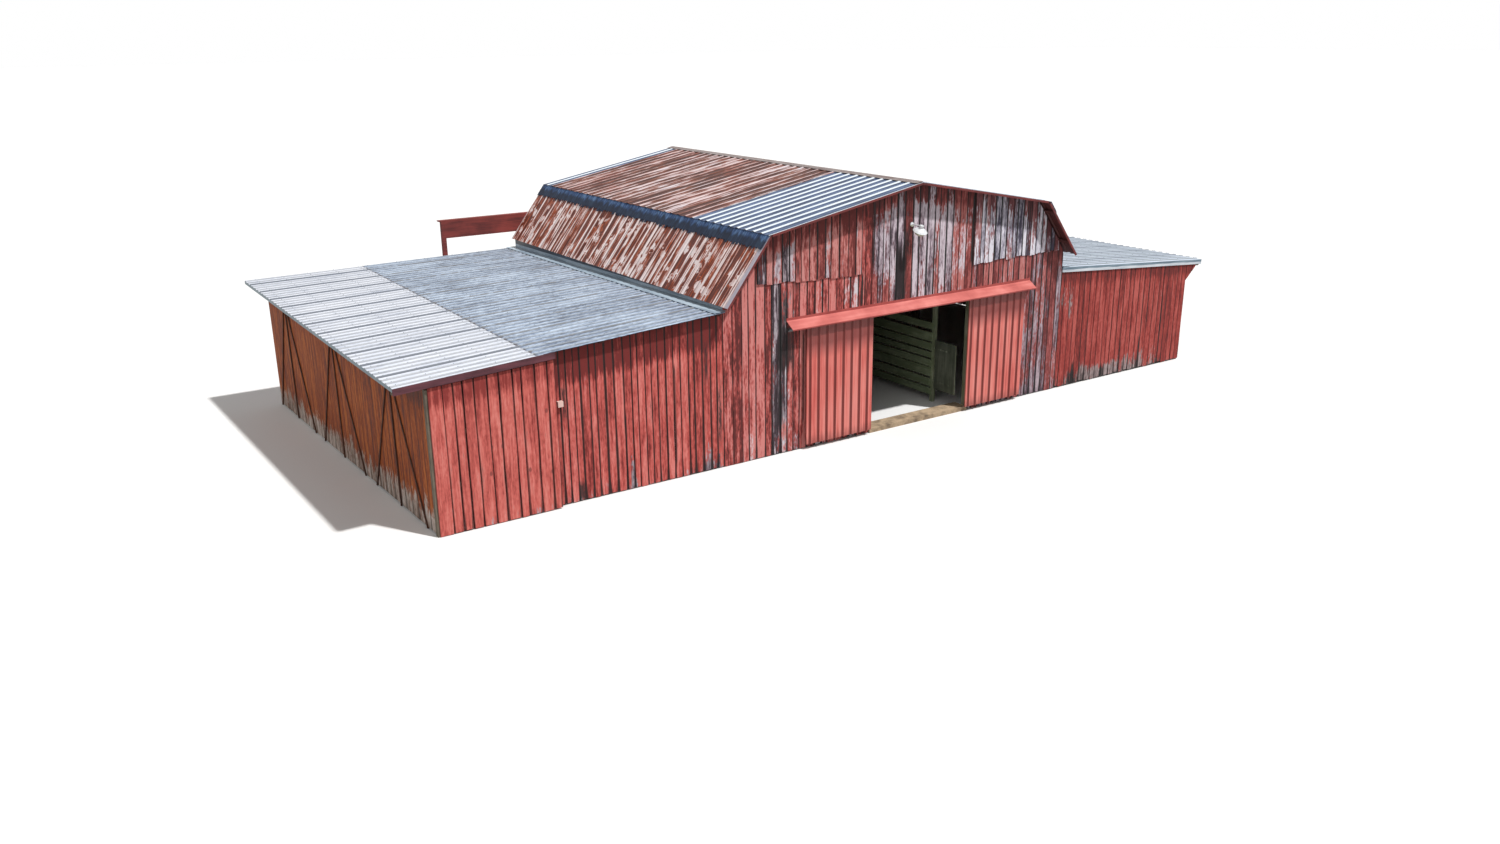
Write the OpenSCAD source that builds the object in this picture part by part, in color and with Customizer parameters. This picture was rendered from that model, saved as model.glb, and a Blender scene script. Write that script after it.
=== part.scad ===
// Gambrel barn of vertical boards and ribbed metal sheets, with a lean-to on each side and a
// doorway closed by two sliding leaves. The origin lies on the base plane, in the plane of the
// front boards, under the ridge. X runs along the front to the right, Y to the rear, Z upwards.

/* [Main barn] */
// Half of the width over the side boards
main_half_w = 5030; // [4960:5:5060]
// Length from the front boards to the rear boards
main_len = 10380; // [9800:10:11000]
// Thickness of the wall boards
board_t = 28; // [22:1:34]

/* [Main roof] */
// Height of the lower roof edge
foot_h = 3520; // [3400:5:3700]
// Rise from the lower roof edge to the roof break
steep_rise = 1390; // [1300:5:1500]
// Rise from the roof break to the ridge
upper_rise = 750; // [650:10:900]
// Reach of the lower roof edge past the side boards
eave_reach = 120; // [110:5:160]
// Distance of the roof break from the lower roof edge, measured level
steep_run = 1080; // [1000:10:1200]
// Roof overhang past the front boards
front_overhang = 350; // [200:10:450]
// Roof overhang past the rear boards
rear_overhang = 20; // [10:5:60]
// Overlap of the upper sheets past the break
break_lap = 40; // [20:5:60]

/* [Roof sheets] */
// Distance from rib to rib on the main roof
main_rib_pitch = 300; // [240:1:340]
// Width of a rib of the main roof at its foot
main_rib_foot = 130; // [90:2:150]
// Width of a rib of the main roof at its top
main_rib_top = 50; // [30:2:80]
// Distance from rib to rib on the lean-to roofs and the leaves
rib_pitch = 229; // [180:1:300]
// Height of a rib on all roofs
rib_h = 20; // [12:1:26]
// Width of a lean-to or leaf rib at its foot
rib_foot = 60; // [44:2:80]
// Width of a lean-to or leaf rib at its top
rib_top = 24; // [14:2:30]
// Thickness of the sheet
sheet_t = 4; // [2:1:5]
// Thickness of ridge cap and flashings
flashing_t = 3; // [2:1:5]
// Width of one side of the ridge cap
cap_w = 180; // [120:10:260]
// Depth of the flashing below the break
break_flash_w = 300; // [200:10:360]
// Width of the flashing at the foot of the main roof
eave_flash_w = 260; // [160:10:320]

/* [Frame] */
// Depth of the purlins under the main sheets
purlin_h = 45; // [38:1:60]
// Width of the purlins
purlin_w = 90; // [70:5:120]
// Depth of the main rafters
rafter_h = 140; // [110:5:160]
// Width of all rafters
rafter_w = 45; // [38:1:60]
// Number of frames along the barn
frames = 5; // [3:1:6]
// Side of the main posts
post_w = 140; // [110:5:160]
// Depth of the rafters' seat on the eave plates
birdsmouth = 30; // [15:5:40]
// Depth of the eave plates
plate_h = 140; // [100:5:180]
// Depth of the tie beams
tie_h = 150; // [110:5:170]

/* [Doorway] */
// Left side of the doorway
door_left_x = -1100; // [-1200:5:-1000]
// Right side of the doorway
door_right_x = 1930; // [1860:5:2000]
// Height of the doorway
door_head = 2715; // [2500:5:2800]
// Side of the jamb posts
jamb_w = 120; // [90:5:130]
// Height of the threshold
sill_h = 100; // [60:5:110]
// Depth of the threshold from front to rear
sill_d = 380; // [250:10:500]

/* [Sliding doors] */
// Number of rib bays across a leaf
leaf_bays = 8; // [6:1:8]
// Height of the leaves' lower edge
leaf_bottom = 120; // [115:5:160]
// How far the leaves reach over the doorway's head
leaf_lap = 65; // [50:5:80]
// Thickness of the leaf frame
leaf_frame_t = 23; // [18:1:30]
// Height of the ribs of the leaves
leaf_rib_h = 18; // [10:1:22]
// Gap between the wall face and the back of the leaves
leaf_gap = 95; // [90:1:110]
// How far the open left leaf stands clear of the doorway
left_leaf_clear = 30; // [10:5:60]
// How far the open right leaf still covers the doorway
right_leaf_cover = 130; // [90:5:150]

/* [Track and hood] */
// Length of the hood past the open left leaf
hood_past_left = 458; // [430:2:500]
// Length of the hood past the open right leaf
hood_past_right = 268; // [240:2:300]
// Height of the hood's front edge over the leaves
hood_clear = 20; // [15:1:40]
// Fall of the hood from the wall to its front edge
hood_fall = 150; // [130:5:180]
// Reach of the hood from the wall
hood_reach = 235; // [220:5:280]
// Upright strip of the hood on the wall
hood_strip = 60; // [40:5:90]
// Depth of the hood's lip
hood_lip = 25; // [15:1:28]
// Depth of the hood's brackets
bracket_d = 50; // [40:5:55]
// Height of the track board
track_board_h = 85; // [75:5:100]
// Drop from the leaves' upper edge to the rail's top
rail_drop = 5; // [0:1:15]
// Depth of the rail
rail_h = 40; // [30:1:45]
// Thickness of the rail
rail_t = 6; // [5:1:8]
// Distance of the rail's middle from the wall
rail_y = 72; // [70:1:74]
// Radius of the hanger wheels
wheel_r = 32; // [26:1:36]
// Width of the hanger wheels
wheel_w = 18; // [14:1:20]
// Running gap between wheel and rail
wheel_gap = 0.3; // [0.1:0.1:0.5]

/* [Left lean-to] */
// Gap between the main side boards and the sheets of both lean-tos
lean_gap = 30; // [20:5:50]
// Width of the left lean-to over its side wall at the front
left_w = 6320; // [6100:10:6500]
// How much wider the left lean-to is at the rear
left_splay = 250; // [0:10:400]
// Overhang of the roof past the side wall at the front
left_eave = 600; // [500:10:700]
// How much wider the roof is at the rear
left_roof_splay = 130; // [0:10:250]
// Drop from the main roof's foot to the inner roof edge at the front
left_in_front_drop = 110; // [90:5:200]
// Drop from the main roof's foot to the inner roof edge at the rear
left_in_rear_drop = 240; // [110:5:260]
// Fall of the roof to its outer edge at the front
left_front_fall = 420; // [300:10:500]
// Fall of the roof to its outer edge at the rear
left_rear_fall = 75; // [50:5:300]
// Distance of the seam between grey and white sheets from the main side boards
left_seam_w = 4210; // [4120:10:4400]
// Width of the outer front wall
left_bay_w = 2450; // [2350:10:2500]
// How far the outer front wall stands proud
left_bay_proud = 120; // [100:5:140]
// Gap between the outer front wall and the roof
left_bay_gap = 150; // [60:5:180]
// Roof overhang at the front of the left lean-to
lean_overhang = 160; // [150:5:200]
// Roof overhang at the rear of both lean-tos
lean_rear_overhang = 20; // [10:5:60]

/* [Right lean-to] */
// Width of the right lean-to over its side wall
right_w = 4970; // [4800:10:5100]
// Overhang of the roof past the side wall
right_eave = 570; // [520:10:700]
// Overhang of the roof past the front boards
right_overhang = 30; // [28:2:120]
// Drop from the main roof's foot to the inner roof edge
right_in_drop = 355; // [320:5:450]
// Fall of the roof to its outer edge
right_fall = 405; // [300:5:450]
// Reach of the flared end board past the side wall
flare_w = 380; // [200:10:420]
// Rise of the flared edge for each millimetre of its reach
flare_slope = 0.92; // [0.8:0.01:1]
// Drop from the outer roof edge to the start of the flare
flare_drop = 540; // [450:10:560]
// Depth of the front fascia
fascia_h = 125; // [100:5:170]

/* [Lean-to frame] */
// Depth of the lean-to purlins
lean_purlin_h = 45; // [38:1:60]
// Width of the lean-to purlins
lean_purlin_w = 90; // [70:5:100]
// Depth of the lean-to rafters
lean_rafter_h = 120; // [90:5:140]
// Depth of the lean-to beams
lean_beam_h = 140; // [100:5:180]
// Width of the lean-to beams
lean_beam_w = 45; // [40:5:90]
// Side of the lean-to posts
lean_post_w = 110; // [90:5:120]
// Width of rake boards and braces
trim_w = 130; // [90:5:140]
// Depth of the board under the outer edge of the left roof
left_fascia_h = 80; // [50:5:95]
// Distance of that board from the edge of the sheets
fascia_inset = 8; // [2:1:40]
// Thickness of rake boards and braces
trim_t = 25; // [18:1:30]
// Depth of the boards under the main roof's front edge
rake_h = 50; // [35:5:90]
// Depth of the rails that the wall boards are nailed to
girt_h = 90; // [70:5:120]
// Thickness of these rails
girt_t = 45; // [38:1:50]

/* [Braces on the left side wall] */
// Place of the first group of braces along the barn
brace_first_y = 1850; // [1700:10:1950]
// Distance from group to group
brace_pitch = 3500; // [3200:10:3520]
// Spread of the slanted braces at their feet
brace_foot = 1400; // [1000:10:1450]
// Width of the braces
brace_w = 45; // [30:1:70]
// Thickness of the braces
brace_t = 25; // [18:1:30]

/* [Front gable boards] */
// Drop from the roof break to the lower edge of the left upper boards
flap_left_drop = 1170; // [1100:10:1220]
// Drop from the roof break to the lower edge of the right upper boards
flap_right_drop = 1320; // [1250:10:1380]
// Height of one step in the lower edges
flap_step = 45; // [20:5:60]

/* [Stall] */
// Distance of the partition from the right side of the doorway
stall_inset = 180; // [160:5:200]
// Side of the stall posts
stall_post_w = 90; // [80:5:100]
// Front face of the first stall post
stall_first_y = 950; // [940:5:1050]
// Distance between the stall posts
stall_bay = 2400; // [2000:50:2500]
// Height of the stall posts
stall_post_h = 2900; // [2600:50:3100]
// Thickness of the slats and of the stall door
slat_t = 25; // [20:1:28]
// Height of the lowest slat
slat_base = 180; // [150:10:220]
// Lower edge of the stall door
stall_door_base = 350; // [250:10:400]
// Height of the stall door
stall_door_h = 1230; // [1100:10:1300]
// Gap between the stall door and its posts
stall_door_gap = 45; // [35:5:60]

/* [Rear track beam] */
// Reach of the beam past the left corner of the main barn
rear_beam_reach = 2030; // [1800:10:2200]
// Height of the beam's lower edge
rear_beam_h = 3690; // [3650:10:3750]
// Depth of the beam
rear_beam_d = 440; // [380:10:480]
// Thickness of the beam
rear_beam_t = 110; // [80:5:140]

/* [Lamp and box] */
// Distance of the lamp from the middle
lamp_x = 20; // [0:10:200]
// Height of the lamp's arm
lamp_h = 4680; // [4600:10:4720]
// Reach of the lamp's arm
lamp_reach = 330; // [250:10:360]
// Lean of the lamp's head towards the front
lamp_tilt = 22; // [0:1:30]
// Radius of the lamp's shade
lamp_r = 165; // [120:5:190]
// Depth of the lamp's glass below the rim of the shade
lamp_glass_h = 100; // [60:5:130]
// Distance of the small box from the outer front wall
box_inset = 140; // [115:5:200]
// Height of the small box
box_h = 2090; // [2000:10:2150]
// Side of the small box
box_w = 110; // [80:5:120]

/* [Hidden] */

// Edges of the main roof
foot_x = main_half_w + eave_reach;
break_x = foot_x - steep_run;
break_h = foot_h + steep_rise;
ridge_h = break_h + upper_rise;
// Slopes of the main roof
upper_angle = atan((ridge_h - break_h) / break_x);
steep_angle = atan((break_h - foot_h) / (foot_x - break_x));
upper_len = break_x / cos(upper_angle);
steep_len = (foot_x - break_x) / cos(steep_angle);
// Depths under the rib tops, square to the slope
sheet_d = rib_h + sheet_t;
purlin_d = sheet_d + purlin_h;
rafter_d = purlin_d + rafter_h;
// The steep sheets and the flashing start where they clear the upper sheets
steep_start = (sheet_d + flashing_t + 2) / sin(steep_angle - upper_angle);
roof_y0 = -front_overhang;
roof_y1 = main_len + rear_overhang;
// Pieces that lie on each other keep this gap
seat = 0.3;
post_x1 = main_half_w - board_t;
plate_top = steep_z(post_x1, rafter_d) + birdsmouth;
ridge_board_t = 38;

// Lean-to roofs: inner and outer distance, the heights of inner and outer edge at the front
// and at the rear, then the place of the front edge
lean_y0 = -lean_overhang;
lean_y1 = main_len + lean_rear_overhang;
lean_in_x = main_half_w + lean_gap;
left_wall_x = main_half_w + left_w;
left_out_x = left_wall_x + left_eave;
left_bay_x = left_wall_x - left_bay_w;
left_seam_x = main_half_w + left_seam_w;
left_in_front_h = foot_h - left_in_front_drop;
left_in_rear_h = foot_h - left_in_rear_drop;
LEFT = [lean_in_x, left_out_x, left_in_front_h, left_in_front_h - left_front_fall,
    left_in_rear_h, left_in_rear_h - left_rear_fall, lean_y0];
right_wall_x = main_half_w + right_w;
right_out_x = right_wall_x + right_eave;
right_in_h = foot_h - right_in_drop;
right_out_h = right_in_h - right_fall;
right_y0 = -right_overhang;
RIGHT = [lean_in_x, right_out_x, right_in_h, right_out_h, right_in_h, right_out_h, right_y0];
// The grey sheets lie on the upper ends of the white ones
lap_lift = sheet_t + 1;
lap_w = 150;
// Angle of the left side wall to the barn
left_turn = atan(left_splay / main_len);

// Doors: each leaf is a whole number of rib bays
leaf_w = leaf_bays * rib_pitch;
leaf_top = door_head + leaf_lap;
rail_top = leaf_top - rail_drop;
left_leaf_edge = door_left_x - left_leaf_clear;
right_leaf_edge = door_right_x - right_leaf_cover;
hood_left_x = left_leaf_edge - leaf_w - hood_past_left;
hood_right_x = right_leaf_edge + leaf_w + hood_past_right;
hood_lip_h = leaf_top + hood_clear;
hood_back_h = hood_lip_h + hood_fall;
leaf_mid_x = (left_leaf_edge + right_leaf_edge) / 2;
leaf_edge_gap = 0.5;

slat_heights = [170, 200, 230, 180, 148, 190, 230, 170];
slat_gaps = [40, 50, 20, 42, 42, 32, 74, 0];
big = 12000;

// Height of the roof planes at a distance from the middle, at a depth below the rib tops
function upper_z(x, d) = ridge_h - d / cos(upper_angle) - tan(upper_angle) * x;
function steep_z(x, d) = break_h - d / cos(steep_angle) - tan(steep_angle) * (x - break_x);
function bend_x(d) = break_x + d * (1 / cos(upper_angle) - 1 / cos(steep_angle))
    / (tan(steep_angle) - tan(upper_angle));
function steep_x(z, d) = break_x + (break_h - d / cos(steep_angle) - z) / tan(steep_angle);
function mix(a, b, t) = a + (b - a) * t;
// Place along a lean-to roof as a share of its length
function along(y) = (y - lean_y0) / (lean_y1 - lean_y0);
// Height of a lean-to roof at a distance from the middle and a place along the barn
function lean_z(roof, x, y) = let (s = (x - roof[0]) / (roof[1] - roof[0]))
    mix(mix(roof[2], roof[3], s), mix(roof[4], roof[5], s), along(y));
function front_edge(roof) = roof[6];
function sum_to(v, n) = n <= 0 ? 0 : v[n - 1] + sum_to(v, n - 1);
// Places of the frames along the barn
function frame_y(i) = mix(board_t, main_len - board_t - rafter_w, i / (frames - 1));

// Kinds of sheet: distance from rib to rib, width of a rib at its foot and top, and its height
MAIN_SHEET = [main_rib_pitch, main_rib_foot, main_rib_top, rib_h];
LEAN_SHEET = [rib_pitch, rib_foot, rib_top, rib_h];
LEAF_SHEET = [rib_pitch, rib_foot, rib_top, leaf_rib_h];
// Outline points of a ribbed sheet along one direction: across, then height over the pans
function rib_line(a, b, sheet) =
    let (pitch = sheet[0], foot = sheet[1] / 2, top = sheet[2] / 2, h = sheet[3],
        n = floor((b - a) / pitch + 0.01), first = a + (b - a - (n - 1) * pitch) / 2)
    concat([[a, 0]],
        [for (i = [0:n - 1], p = [[-foot, 0], [-top, h], [top, h], [foot, 0]])
            [first + i * pitch + p[0], p[1]]],
        [[b, 0]]);
function sheet_outline(line, t) = concat(line, [for (i = [len(line) - 1:-1:0])
    [line[i][0], line[i][1] - t]]);

module prism_y(points, y0, y1) {
    translate([0, y1, 0]) rotate([90, 0, 0]) linear_extrude(y1 - y0) polygon(points);
}
module prism_x(points, x0, x1) {
    translate([x0, 0, 0]) rotate([90, 0, 90]) linear_extrude(x1 - x0) polygon(points);
}
module block(x0, x1, y0, y1, z0, z1) {
    translate([x0, y0, z0]) cube([x1 - x0, y1 - y0, z1 - z0]);
}
module left() {
    mirror([1, 0, 0]) children();
}
module both_sides() {
    children();
    left() children();
}

// Area under the main roof at a depth below its rib tops, cut between two distances
module gable_area(x0, x1, z0, d) {
    intersection() {
        polygon([[-main_half_w, 0], [-main_half_w, steep_z(main_half_w, d)],
            [-bend_x(d), upper_z(bend_x(d), d)], [0, upper_z(0, d)],
            [bend_x(d), upper_z(bend_x(d), d)], [main_half_w, steep_z(main_half_w, d)],
            [main_half_w, 0]]);
        translate([x0, z0]) square([x1 - x0, big]);
    }
}
module gable_boards(x0, x1, z0, y0) {
    translate([0, y0 + board_t, 0]) rotate([90, 0, 0]) linear_extrude(board_t)
        gable_area(x0, x1, z0, purlin_d);
}

module front_wall_left() {
    color("#8c3b36") gable_boards(-main_half_w, door_left_x, 0, 0);
}
module front_wall_right() {
    color("#7d3a37") gable_boards(door_right_x, main_half_w, 0, 0);
}
module front_gable_centre() {
    color("#7f4a46") gable_boards(door_left_x, door_right_x, door_head, 0);
}

// Upper boards that lap over the wall, their lower edge in steps
module flap(x_in, x_out, h, steps) {
    step_w = (x_out - x_in) / steps;
    rotate([90, 0, 0]) linear_extrude(board_t) intersection() {
        gable_area(-main_half_w, main_half_w, 0, purlin_d);
        union() for (i = [0:steps - 1]) {
            low = h - flap_step * i;
            translate([x_out - (i + 1) * step_w, low]) square([step_w, big]);
        }
    }
}
flap_left_in_x = 1400;
flap_left_out_x = main_half_w - 850;
flap_right_in_x = 1950;
flap_right_out_x = main_half_w - 180;
flap_steps = 3;
module front_flap_left() {
    color("#96433f") left() flap(flap_left_in_x, flap_left_out_x,
        break_h - flap_left_drop + flap_step, flap_steps);
}
module front_flap_right() {
    color("#8b8583") flap(flap_right_in_x, flap_right_out_x,
        break_h - flap_right_drop + flap_step, flap_steps);
}

// The rear gable repeats the front, and its taller doorway is shut
rear_door_x0 = leaf_mid_x - leaf_w + jamb_w;
rear_door_x1 = leaf_mid_x + leaf_w - jamb_w;
module rear_wall() {
    color("#8c3b36") translate([0, main_len, 0]) rotate([90, 0, 0]) linear_extrude(board_t)
        difference() {
            gable_area(-main_half_w, main_half_w, 0, purlin_d);
            translate([rear_door_x0, -1])
                square([rear_door_x1 - rear_door_x0, rear_beam_h - jamb_w + 1]);
        }
}
module rear_doors() {
    for (side = [-1, 1])
        color("#c4524c") translate([leaf_mid_x + side * (leaf_w / 2 + leaf_edge_gap),
            main_len, 0]) rotate([0, 0, 180]) leaf(rear_beam_h);
}

// Side boards of the main barn, from the lean-to beams up to the steep sheets
module upper_side_wall(roof) {
    block(main_half_w - board_t, main_half_w, board_t, main_len - board_t,
        beam_top(roof, main_half_w, main_len) - lean_beam_h,
        steep_z(main_half_w, purlin_d) - 1);
}
module upper_side_walls() {
    color("#8c3b36") {
        left() upper_side_wall(LEFT);
        upper_side_wall(RIGHT);
    }
}

// Frame of the main barn
module main_posts() {
    color("#8a8174") both_sides() for (i = [0:frames - 1]) {
        y = frame_y(i) + (i == frames - 1 ? rafter_w - post_w : 0);
        block(post_x1 - post_w, post_x1, y, y + post_w, 0, plate_top - plate_h);
    }
}
module eave_plates() {
    color("#8a8174") both_sides()
        block(post_x1 - post_w, post_x1, board_t, main_len - board_t, plate_top - plate_h,
            plate_top);
}
tie_inset = 60;
module tie_beams() {
    color("#8a8174") for (i = [0:frames - 1]) {
        y = frame_y(i) + (i == frames - 1 ? -rafter_w : rafter_w);
        block(-post_x1 + tie_inset, post_x1 - tie_inset, y, y + rafter_w, plate_top,
            plate_top + tie_h);
    }
}
// Rafters under the upper slope from the ridge board to the break, and under the steep slope
// from the break to their seat on the plate
module upper_rafter() {
    prism_y([[ridge_board_t / 2, upper_z(ridge_board_t / 2, purlin_d + seat)],
        [bend_x(purlin_d + seat), upper_z(bend_x(purlin_d + seat), purlin_d + seat)],
        [bend_x(rafter_d), upper_z(bend_x(rafter_d), rafter_d)],
        [ridge_board_t / 2, upper_z(ridge_board_t / 2, rafter_d)]], 0, rafter_w);
}
module steep_rafter() {
    prism_y([[bend_x(purlin_d + seat), upper_z(bend_x(purlin_d + seat), purlin_d + seat)],
        [post_x1, steep_z(post_x1, purlin_d + seat)], [post_x1, plate_top],
        [steep_x(plate_top, rafter_d), plate_top],
        [bend_x(rafter_d), upper_z(bend_x(rafter_d), rafter_d)]], 0, rafter_w);
}
module main_rafters() {
    color("#94897a") both_sides() for (i = [0:frames - 1]) translate([0, frame_y(i), 0]) {
        upper_rafter();
        steep_rafter();
    }
}
// Local frame of a slope: X runs down it, Z stands square to it, with rib tops at zero
module on_upper() {
    translate([0, 0, ridge_h]) rotate([0, upper_angle, 0]) children();
}
module on_steep() {
    translate([break_x, 0, break_h]) rotate([0, steep_angle, 0]) children();
}
module purlin(x) {
    block(x - purlin_w / 2, x + purlin_w / 2, roof_y0 + 2 * trim_t, roof_y1, -purlin_d + seat,
        -sheet_d);
}
module purlins() {
    color("#94897a") {
        both_sides() {
            on_upper() for (s = [0.12, 0.5, 0.9]) purlin(s * upper_len);
            on_steep() for (s = [0.2, 0.75]) purlin(s * steep_len);
        }
        block(-ridge_board_t / 2, ridge_board_t / 2, board_t, main_len - board_t,
            upper_z(0, rafter_d), upper_z(ridge_board_t / 2, purlin_d));
    }
}

// Ribbed sheet from the top to the foot of a slope
module ribbed_sheet(x0, x1, y0, y1) {
    translate([0, 0, -rib_h]) rotate([90, 0, 90]) translate([0, 0, x0])
        linear_extrude(x1 - x0) polygon(sheet_outline(rib_line(y0, y1, MAIN_SHEET), sheet_t));
}
ridge_gap = 6;
module upper_sheets() {
    on_upper() ribbed_sheet(ridge_gap, upper_len + break_lap, roof_y0, roof_y1);
}
module steep_sheets() {
    on_steep() ribbed_sheet(steep_start, steep_len, roof_y0, roof_y1);
}
module upper_roof_left() {
    color("#94604f") left() upper_sheets();
}
module upper_roof_right() {
    color("#94604f") upper_sheets();
}
module steep_roof_left() {
    color("#a8705a") left() steep_sheets();
}
module steep_roof_right() {
    color("#a8705a") steep_sheets();
}
module ridge_cap() {
    drop = cap_w * tan(upper_angle);
    rise = flashing_t / cos(upper_angle);
    color("#a9adb2") translate([0, 0, seat]) prism_y([[-cap_w, ridge_h - drop], [0, ridge_h],
        [cap_w, ridge_h - drop], [cap_w, ridge_h - drop + rise], [0, ridge_h + rise],
        [-cap_w, ridge_h - drop + rise]], roof_y0, roof_y1);
}
module break_flashings() {
    color("#3c444f") both_sides() on_steep()
        block(steep_start, steep_start + break_flash_w, roof_y0, roof_y1, seat,
            seat + flashing_t);
}
// Strip on the lean-to roof along the foot of the main roof, and one that stands on it against
// the side wall, from the front boards to the rear
module foot_strip(roof, lift) {
    line = [for (i = [0:strip_parts])
        [mix(front_edge(roof), lean_y1, i / strip_parts), rib_h + flashing_t]];
    x = main_half_w + seat;
    twisted_plate(roof, x, roof[0] + eave_flash_w, sheet_outline(line, flashing_t), lift);
    base = lift + flashing_t + seat;
    prism_x([[0, lean_z(roof, x, 0) + base], [lean_y1, lean_z(roof, x, lean_y1) + base],
        [lean_y1, foot_h - upstand_gap], [0, foot_h - upstand_gap]], x, x + flashing_t);
}
strip_parts = 12;
upstand_gap = 30;
module eave_flashings() {
    color("#8f9aa5") {
        left() foot_strip(LEFT, lap_lift + seat);
        foot_strip(RIGHT, seat);
    }
}
// Boards under the roof edge at the front
module rake_boards() {
    color("#7a3a37") both_sides() {
        on_upper() translate([0, roof_y0, 0])
            block(ridge_gap + rake_h * tan(upper_angle), upper_len - rake_h, 0, trim_t,
                -sheet_d - rake_h, -sheet_d);
        on_steep() translate([0, roof_y0, 0])
            block(rake_h, steep_len, 0, trim_t, -sheet_d - rake_h, -sheet_d);
    }
}

// Outline of a wall under the purlins of a lean-to roof, from one distance to another
function lean_wall(roof, x0, x1, y, gap) = [[x0, 0], [x1, 0],
    [x1, lean_z(roof, x1, y) - sheet_d - gap], [x0, lean_z(roof, x0, y) - sheet_d - gap]];
function wall_gap(roof) = lean_purlin_h + purlin_fall(roof) + 2;
module left_front_wall() {
    color("#a34540") left() prism_y(lean_wall(LEFT, main_half_w, left_bay_x, 0,
        wall_gap(LEFT)), 0, board_t);
}
// The outer wall stands proud, and a return board closes the step to the inner wall
module left_bay_front_wall() {
    x0 = left_bay_x - bay_lap;
    color("#b24c46") left() {
        prism_y(lean_wall(LEFT, x0, left_wall_x - corner_lap, lean_y0, left_bay_gap),
            -left_bay_proud, board_t - left_bay_proud);
        prism_y(lean_wall(LEFT, x0, x0 + board_t, lean_y0, left_bay_gap), -left_bay_proud, 0);
    }
}
bay_lap = 50;
corner_lap = 20;
left_side_y0 = board_t - left_bay_proud + lean_post_w + seat;
// Frame of the left side wall, which runs outwards to the rear: its outer face is at zero
module on_left_wall() {
    left() translate([left_wall_x, 0, 0]) rotate([0, 0, -left_turn]) children();
}
// Inner face of its boards, where the frame stands
left_frame_x = -board_t - seat;
function left_wall_top(y) = beam_top(LEFT, left_wall_x + y * tan(left_turn), y) - seat;
// Places along the side wall where its top changes slope
left_wall_ys = concat([left_side_y0], [for (i = [1:frames - 2]) frame_y(i)], [main_len]);
function side_wall_outline(h) = concat([for (y = left_wall_ys) [y, left_wall_top(y)]],
    [for (i = [len(left_wall_ys) - 1:-1:0]) [left_wall_ys[i], h < 0 ? 0
        : left_wall_top(left_wall_ys[i]) - h]]);
module left_side_wall() {
    color("#93502f") on_left_wall() prism_x(side_wall_outline(-1), -board_t, 0);
}
// Groups of an upright board and two slanted ones that spread from its head
module left_wall_braces() {
    color("#7d4228") on_left_wall() for (i = [0:2]) {
        y = brace_first_y + i * brace_pitch;
        top = left_wall_top(y) - brace_foot * 0.02 - 10;
        for (foot = [-brace_foot, 0, brace_foot])
            prism_x([[y - brace_w / 2, top], [y + brace_w / 2, top],
                [y + brace_w / 2 + foot, 0], [y - brace_w / 2 + foot, 0]], seat, seat + brace_t);
    }
}
module wall_box() {
    x = left_bay_x - box_inset;
    color("#e3b9ae") left() block(x - box_w / 2, x + box_w / 2, -box_w * 0.7, 0,
        box_h - box_w / 2, box_h + box_w / 2);
}

// Plate on a lean-to roof whose rafters differ in slope from front to rear, so it is slightly
// twisted: its outline gives places along the barn and heights over the pans of the sheets
module twisted_plate(roof, x0, x1, outline, lift, splay = 0, inner_splay = 0) {
    n = len(outline);
    m = n / 2;
    points = [for (end = [[x0, inner_splay], [x1, splay]], p = outline)
        let (x = end[0] + end[1] * along(p[0]))
        [x, p[0], lean_z(roof, x, p[0]) + p[1] - rib_h + lift]];
    polyhedron(points, concat(
        [for (k = [0:m - 2]) each [[k, n - 2 - k, k + 1], [k, n - 1 - k, n - 2 - k]]],
        [for (k = [0:m - 2]) each [[n + k, n + k + 1, 2 * n - 2 - k],
            [n + k, 2 * n - 2 - k, 2 * n - 1 - k]]],
        [for (k = [0:n - 1]) let (j = (k + 1) % n) each [[k, n + j, n + k], [k, j, n + j]]]));
}
module twisted_sheet(roof, x0, x1, lift, splay = 0) {
    twisted_plate(roof, x0, x1, sheet_outline(rib_line(front_edge(roof), lean_y1, LEAN_SHEET),
        sheet_t), lift, splay);
}
module left_roof_inner() {
    color("#9ba6b2") left() twisted_sheet(LEFT, lean_in_x, left_seam_x, lap_lift);
}
module left_roof_outer() {
    color("#dde1e6") left() twisted_sheet(LEFT, left_seam_x - lap_w, left_out_x, 0,
        left_roof_splay);
}
module left_rake_board() {
    x0 = left_bay_x - bay_lap;
    x1 = left_out_x;
    z0 = lean_z(LEFT, x0, lean_y0) - sheet_d;
    z1 = lean_z(LEFT, x1, lean_y0) - sheet_d;
    color("#6d3a44") left() prism_y([[x0, z0], [x1, z1], [x1, z1 - trim_w], [x0, z0 - trim_w]],
        lean_y0, lean_y0 + trim_t);
}

// Board under the outer edge of the left roof, from the rake board to the rear
module left_fascia() {
    line = [for (i = [0:strip_parts])
        [mix(lean_y0 + trim_t + seat, lean_y1, i / strip_parts), -sheet_t - seat]];
    x = left_out_x - fascia_inset;
    color("#64808c") left() twisted_plate(LEFT, x - trim_t, x, sheet_outline(line,
        left_fascia_h), 0, left_roof_splay, left_roof_splay);
}

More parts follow.
